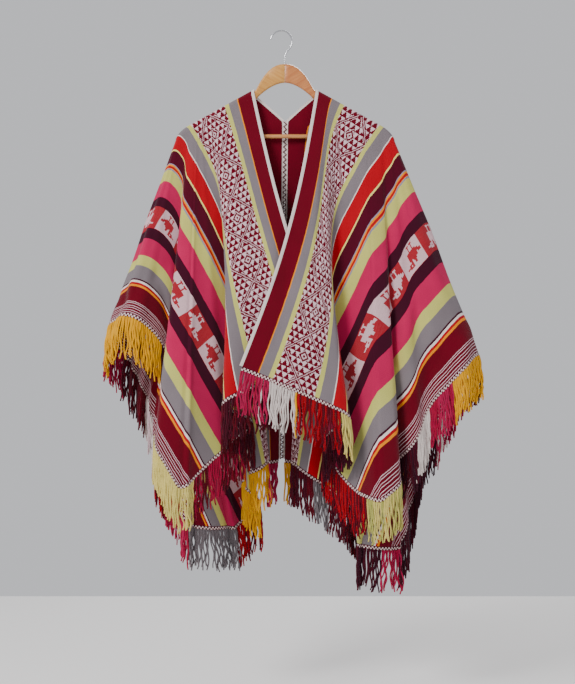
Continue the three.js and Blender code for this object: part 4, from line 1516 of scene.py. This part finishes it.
@dataclass
class Studio:
    """Pale floor, soft lights and the camera.

    Attributes:
        eye: Where the camera stands.
        frame_height: Height of what the camera takes in at the ruana's distance.
    """

    eye: tuple[float, float, float] = (0.0114, -2.6, -0.6427)
    frame_height: float = 1.4159
    film: float = 36.0
    floor_z: float = -1.42
    floor_size: float = 2.5
    floor_depth: float = 0.04

    def build_floor(self) -> None:
        """A plain pale floor slab with a softened edge."""
        deselect()
        bpy.ops.mesh.primitive_cube_add(size=1, location=(0.0, 0.0, self.floor_z - self.floor_depth / 2))
        floor = bpy.context.object
        floor.name = "studio_floor"
        floor.scale = (self.floor_size, self.floor_size, self.floor_depth)
        bpy.ops.object.transform_apply(location=True, rotation=True, scale=True)
        edge = floor.modifiers.new("edge", "BEVEL")
        edge.width = self.floor_depth / 4
        edge.segments = 3
        bpy.ops.object.modifier_apply(modifier="edge")
        smooth(floor)
        paper = Shade("pale_floor")
        paper.shader.inputs["Base Color"].default_value = srgb(236, 234, 232)
        paper.shader.inputs["Roughness"].default_value = 0.9
        give(floor, [paper.material])

    def build_light(self, name: str, place: tuple[float, float, float], size: float, power: float) -> None:
        """A soft square light that looks at the ruana."""
        light = bpy.data.lights.new(name, "AREA")
        light.size = size
        light.energy = power
        lamp = bpy.data.objects.new(name, light)
        lamp.location = place
        aim = Vector((0.0, 0.0, -0.6)) - Vector(place)
        lamp.rotation_euler = aim.to_track_quat("-Z", "Y").to_euler()
        bpy.context.scene.collection.objects.link(lamp)

    def build_world(self) -> None:
        """Even pale light from all round."""
        world = bpy.data.worlds.new("studio")
        world.use_nodes = True
        ground = world.node_tree.nodes["Background"]
        ground.inputs["Color"].default_value = (0.95, 0.96, 1.0, 1.0)
        ground.inputs["Strength"].default_value = 0.68
        bpy.context.scene.world = world

    def build_camera(self) -> None:
        """The camera, level and square to the wall."""
        data = bpy.data.cameras.new("camera")
        data.sensor_fit = "VERTICAL"
        data.sensor_height = self.film
        data.lens = self.film * -self.eye[1] / self.frame_height
        camera = bpy.data.objects.new("camera", data)
        camera.location = self.eye
        camera.rotation_euler = (math.pi / 2, 0.0, 0.0)
        bpy.context.scene.collection.objects.link(camera)
        bpy.context.scene.camera = camera

    def build(self) -> None:
        """Builds the whole studio."""
        self.build_floor()
        self.build_light("key_light", (-1.9, -2.2, 1.3), 1.0, 105.0)
        self.build_light("fill_light", (2.1, -2.0, 0.0), 1.8, 8.0)
        self.build_light("rear_light", (0.8, 2.4, 1.2), 1.4, 45.0)
        self.build_world()
        self.build_camera()


def main() -> None:
    """Builds the ruana, its hanger and the studio."""
    cloth = StripedCloth()
    binding = PlainWool(Dye.CREAM, fleck=0.3).material("binding_wool")
    heading = CheckedBand().material("checked_heading")
    stitch = PlainWool(Dye.CRIMSON).material("crimson_stitch")
    yarns = {dye: PlainWool(dye).material(f"{dye.name.lower()}_yarn") for dye in Dye}
    right = Panel("right", Drape(1, RIGHT_FRONT, RIGHT_BACK, RIGHT_CREASES, RIGHT_PLEATS), RIGHT_FRINGE, 11)
    left = Panel("left", Drape(-1, LEFT_FRONT, LEFT_BACK, LEFT_CREASES, LEFT_PLEATS), LEFT_FRINGE, 23)
    right.build(cloth.material("right_weave"), binding, heading, yarns)
    left.build(cloth.material("left_weave"), binding, heading, yarns)
    BackSeam(left.surface, right.surface).build(stitch)
    ClothesHanger().build(
        Beech(srgb(212, 138, 76), srgb(168, 90, 40), slope=math.radians(29)).material("tan_wood"),
        Beech(srgb(222, 164, 78), srgb(186, 120, 46), slope=math.radians(-29)).material("ochre_wood"),
        Beech().material("bar_wood"),
        PlatedWire().material("plated_wire"),
    )
    Studio().build()


if __name__ == "__main__":
    logging.basicConfig(level=logging.INFO, format="%(name)s: %(message)s")
    main()
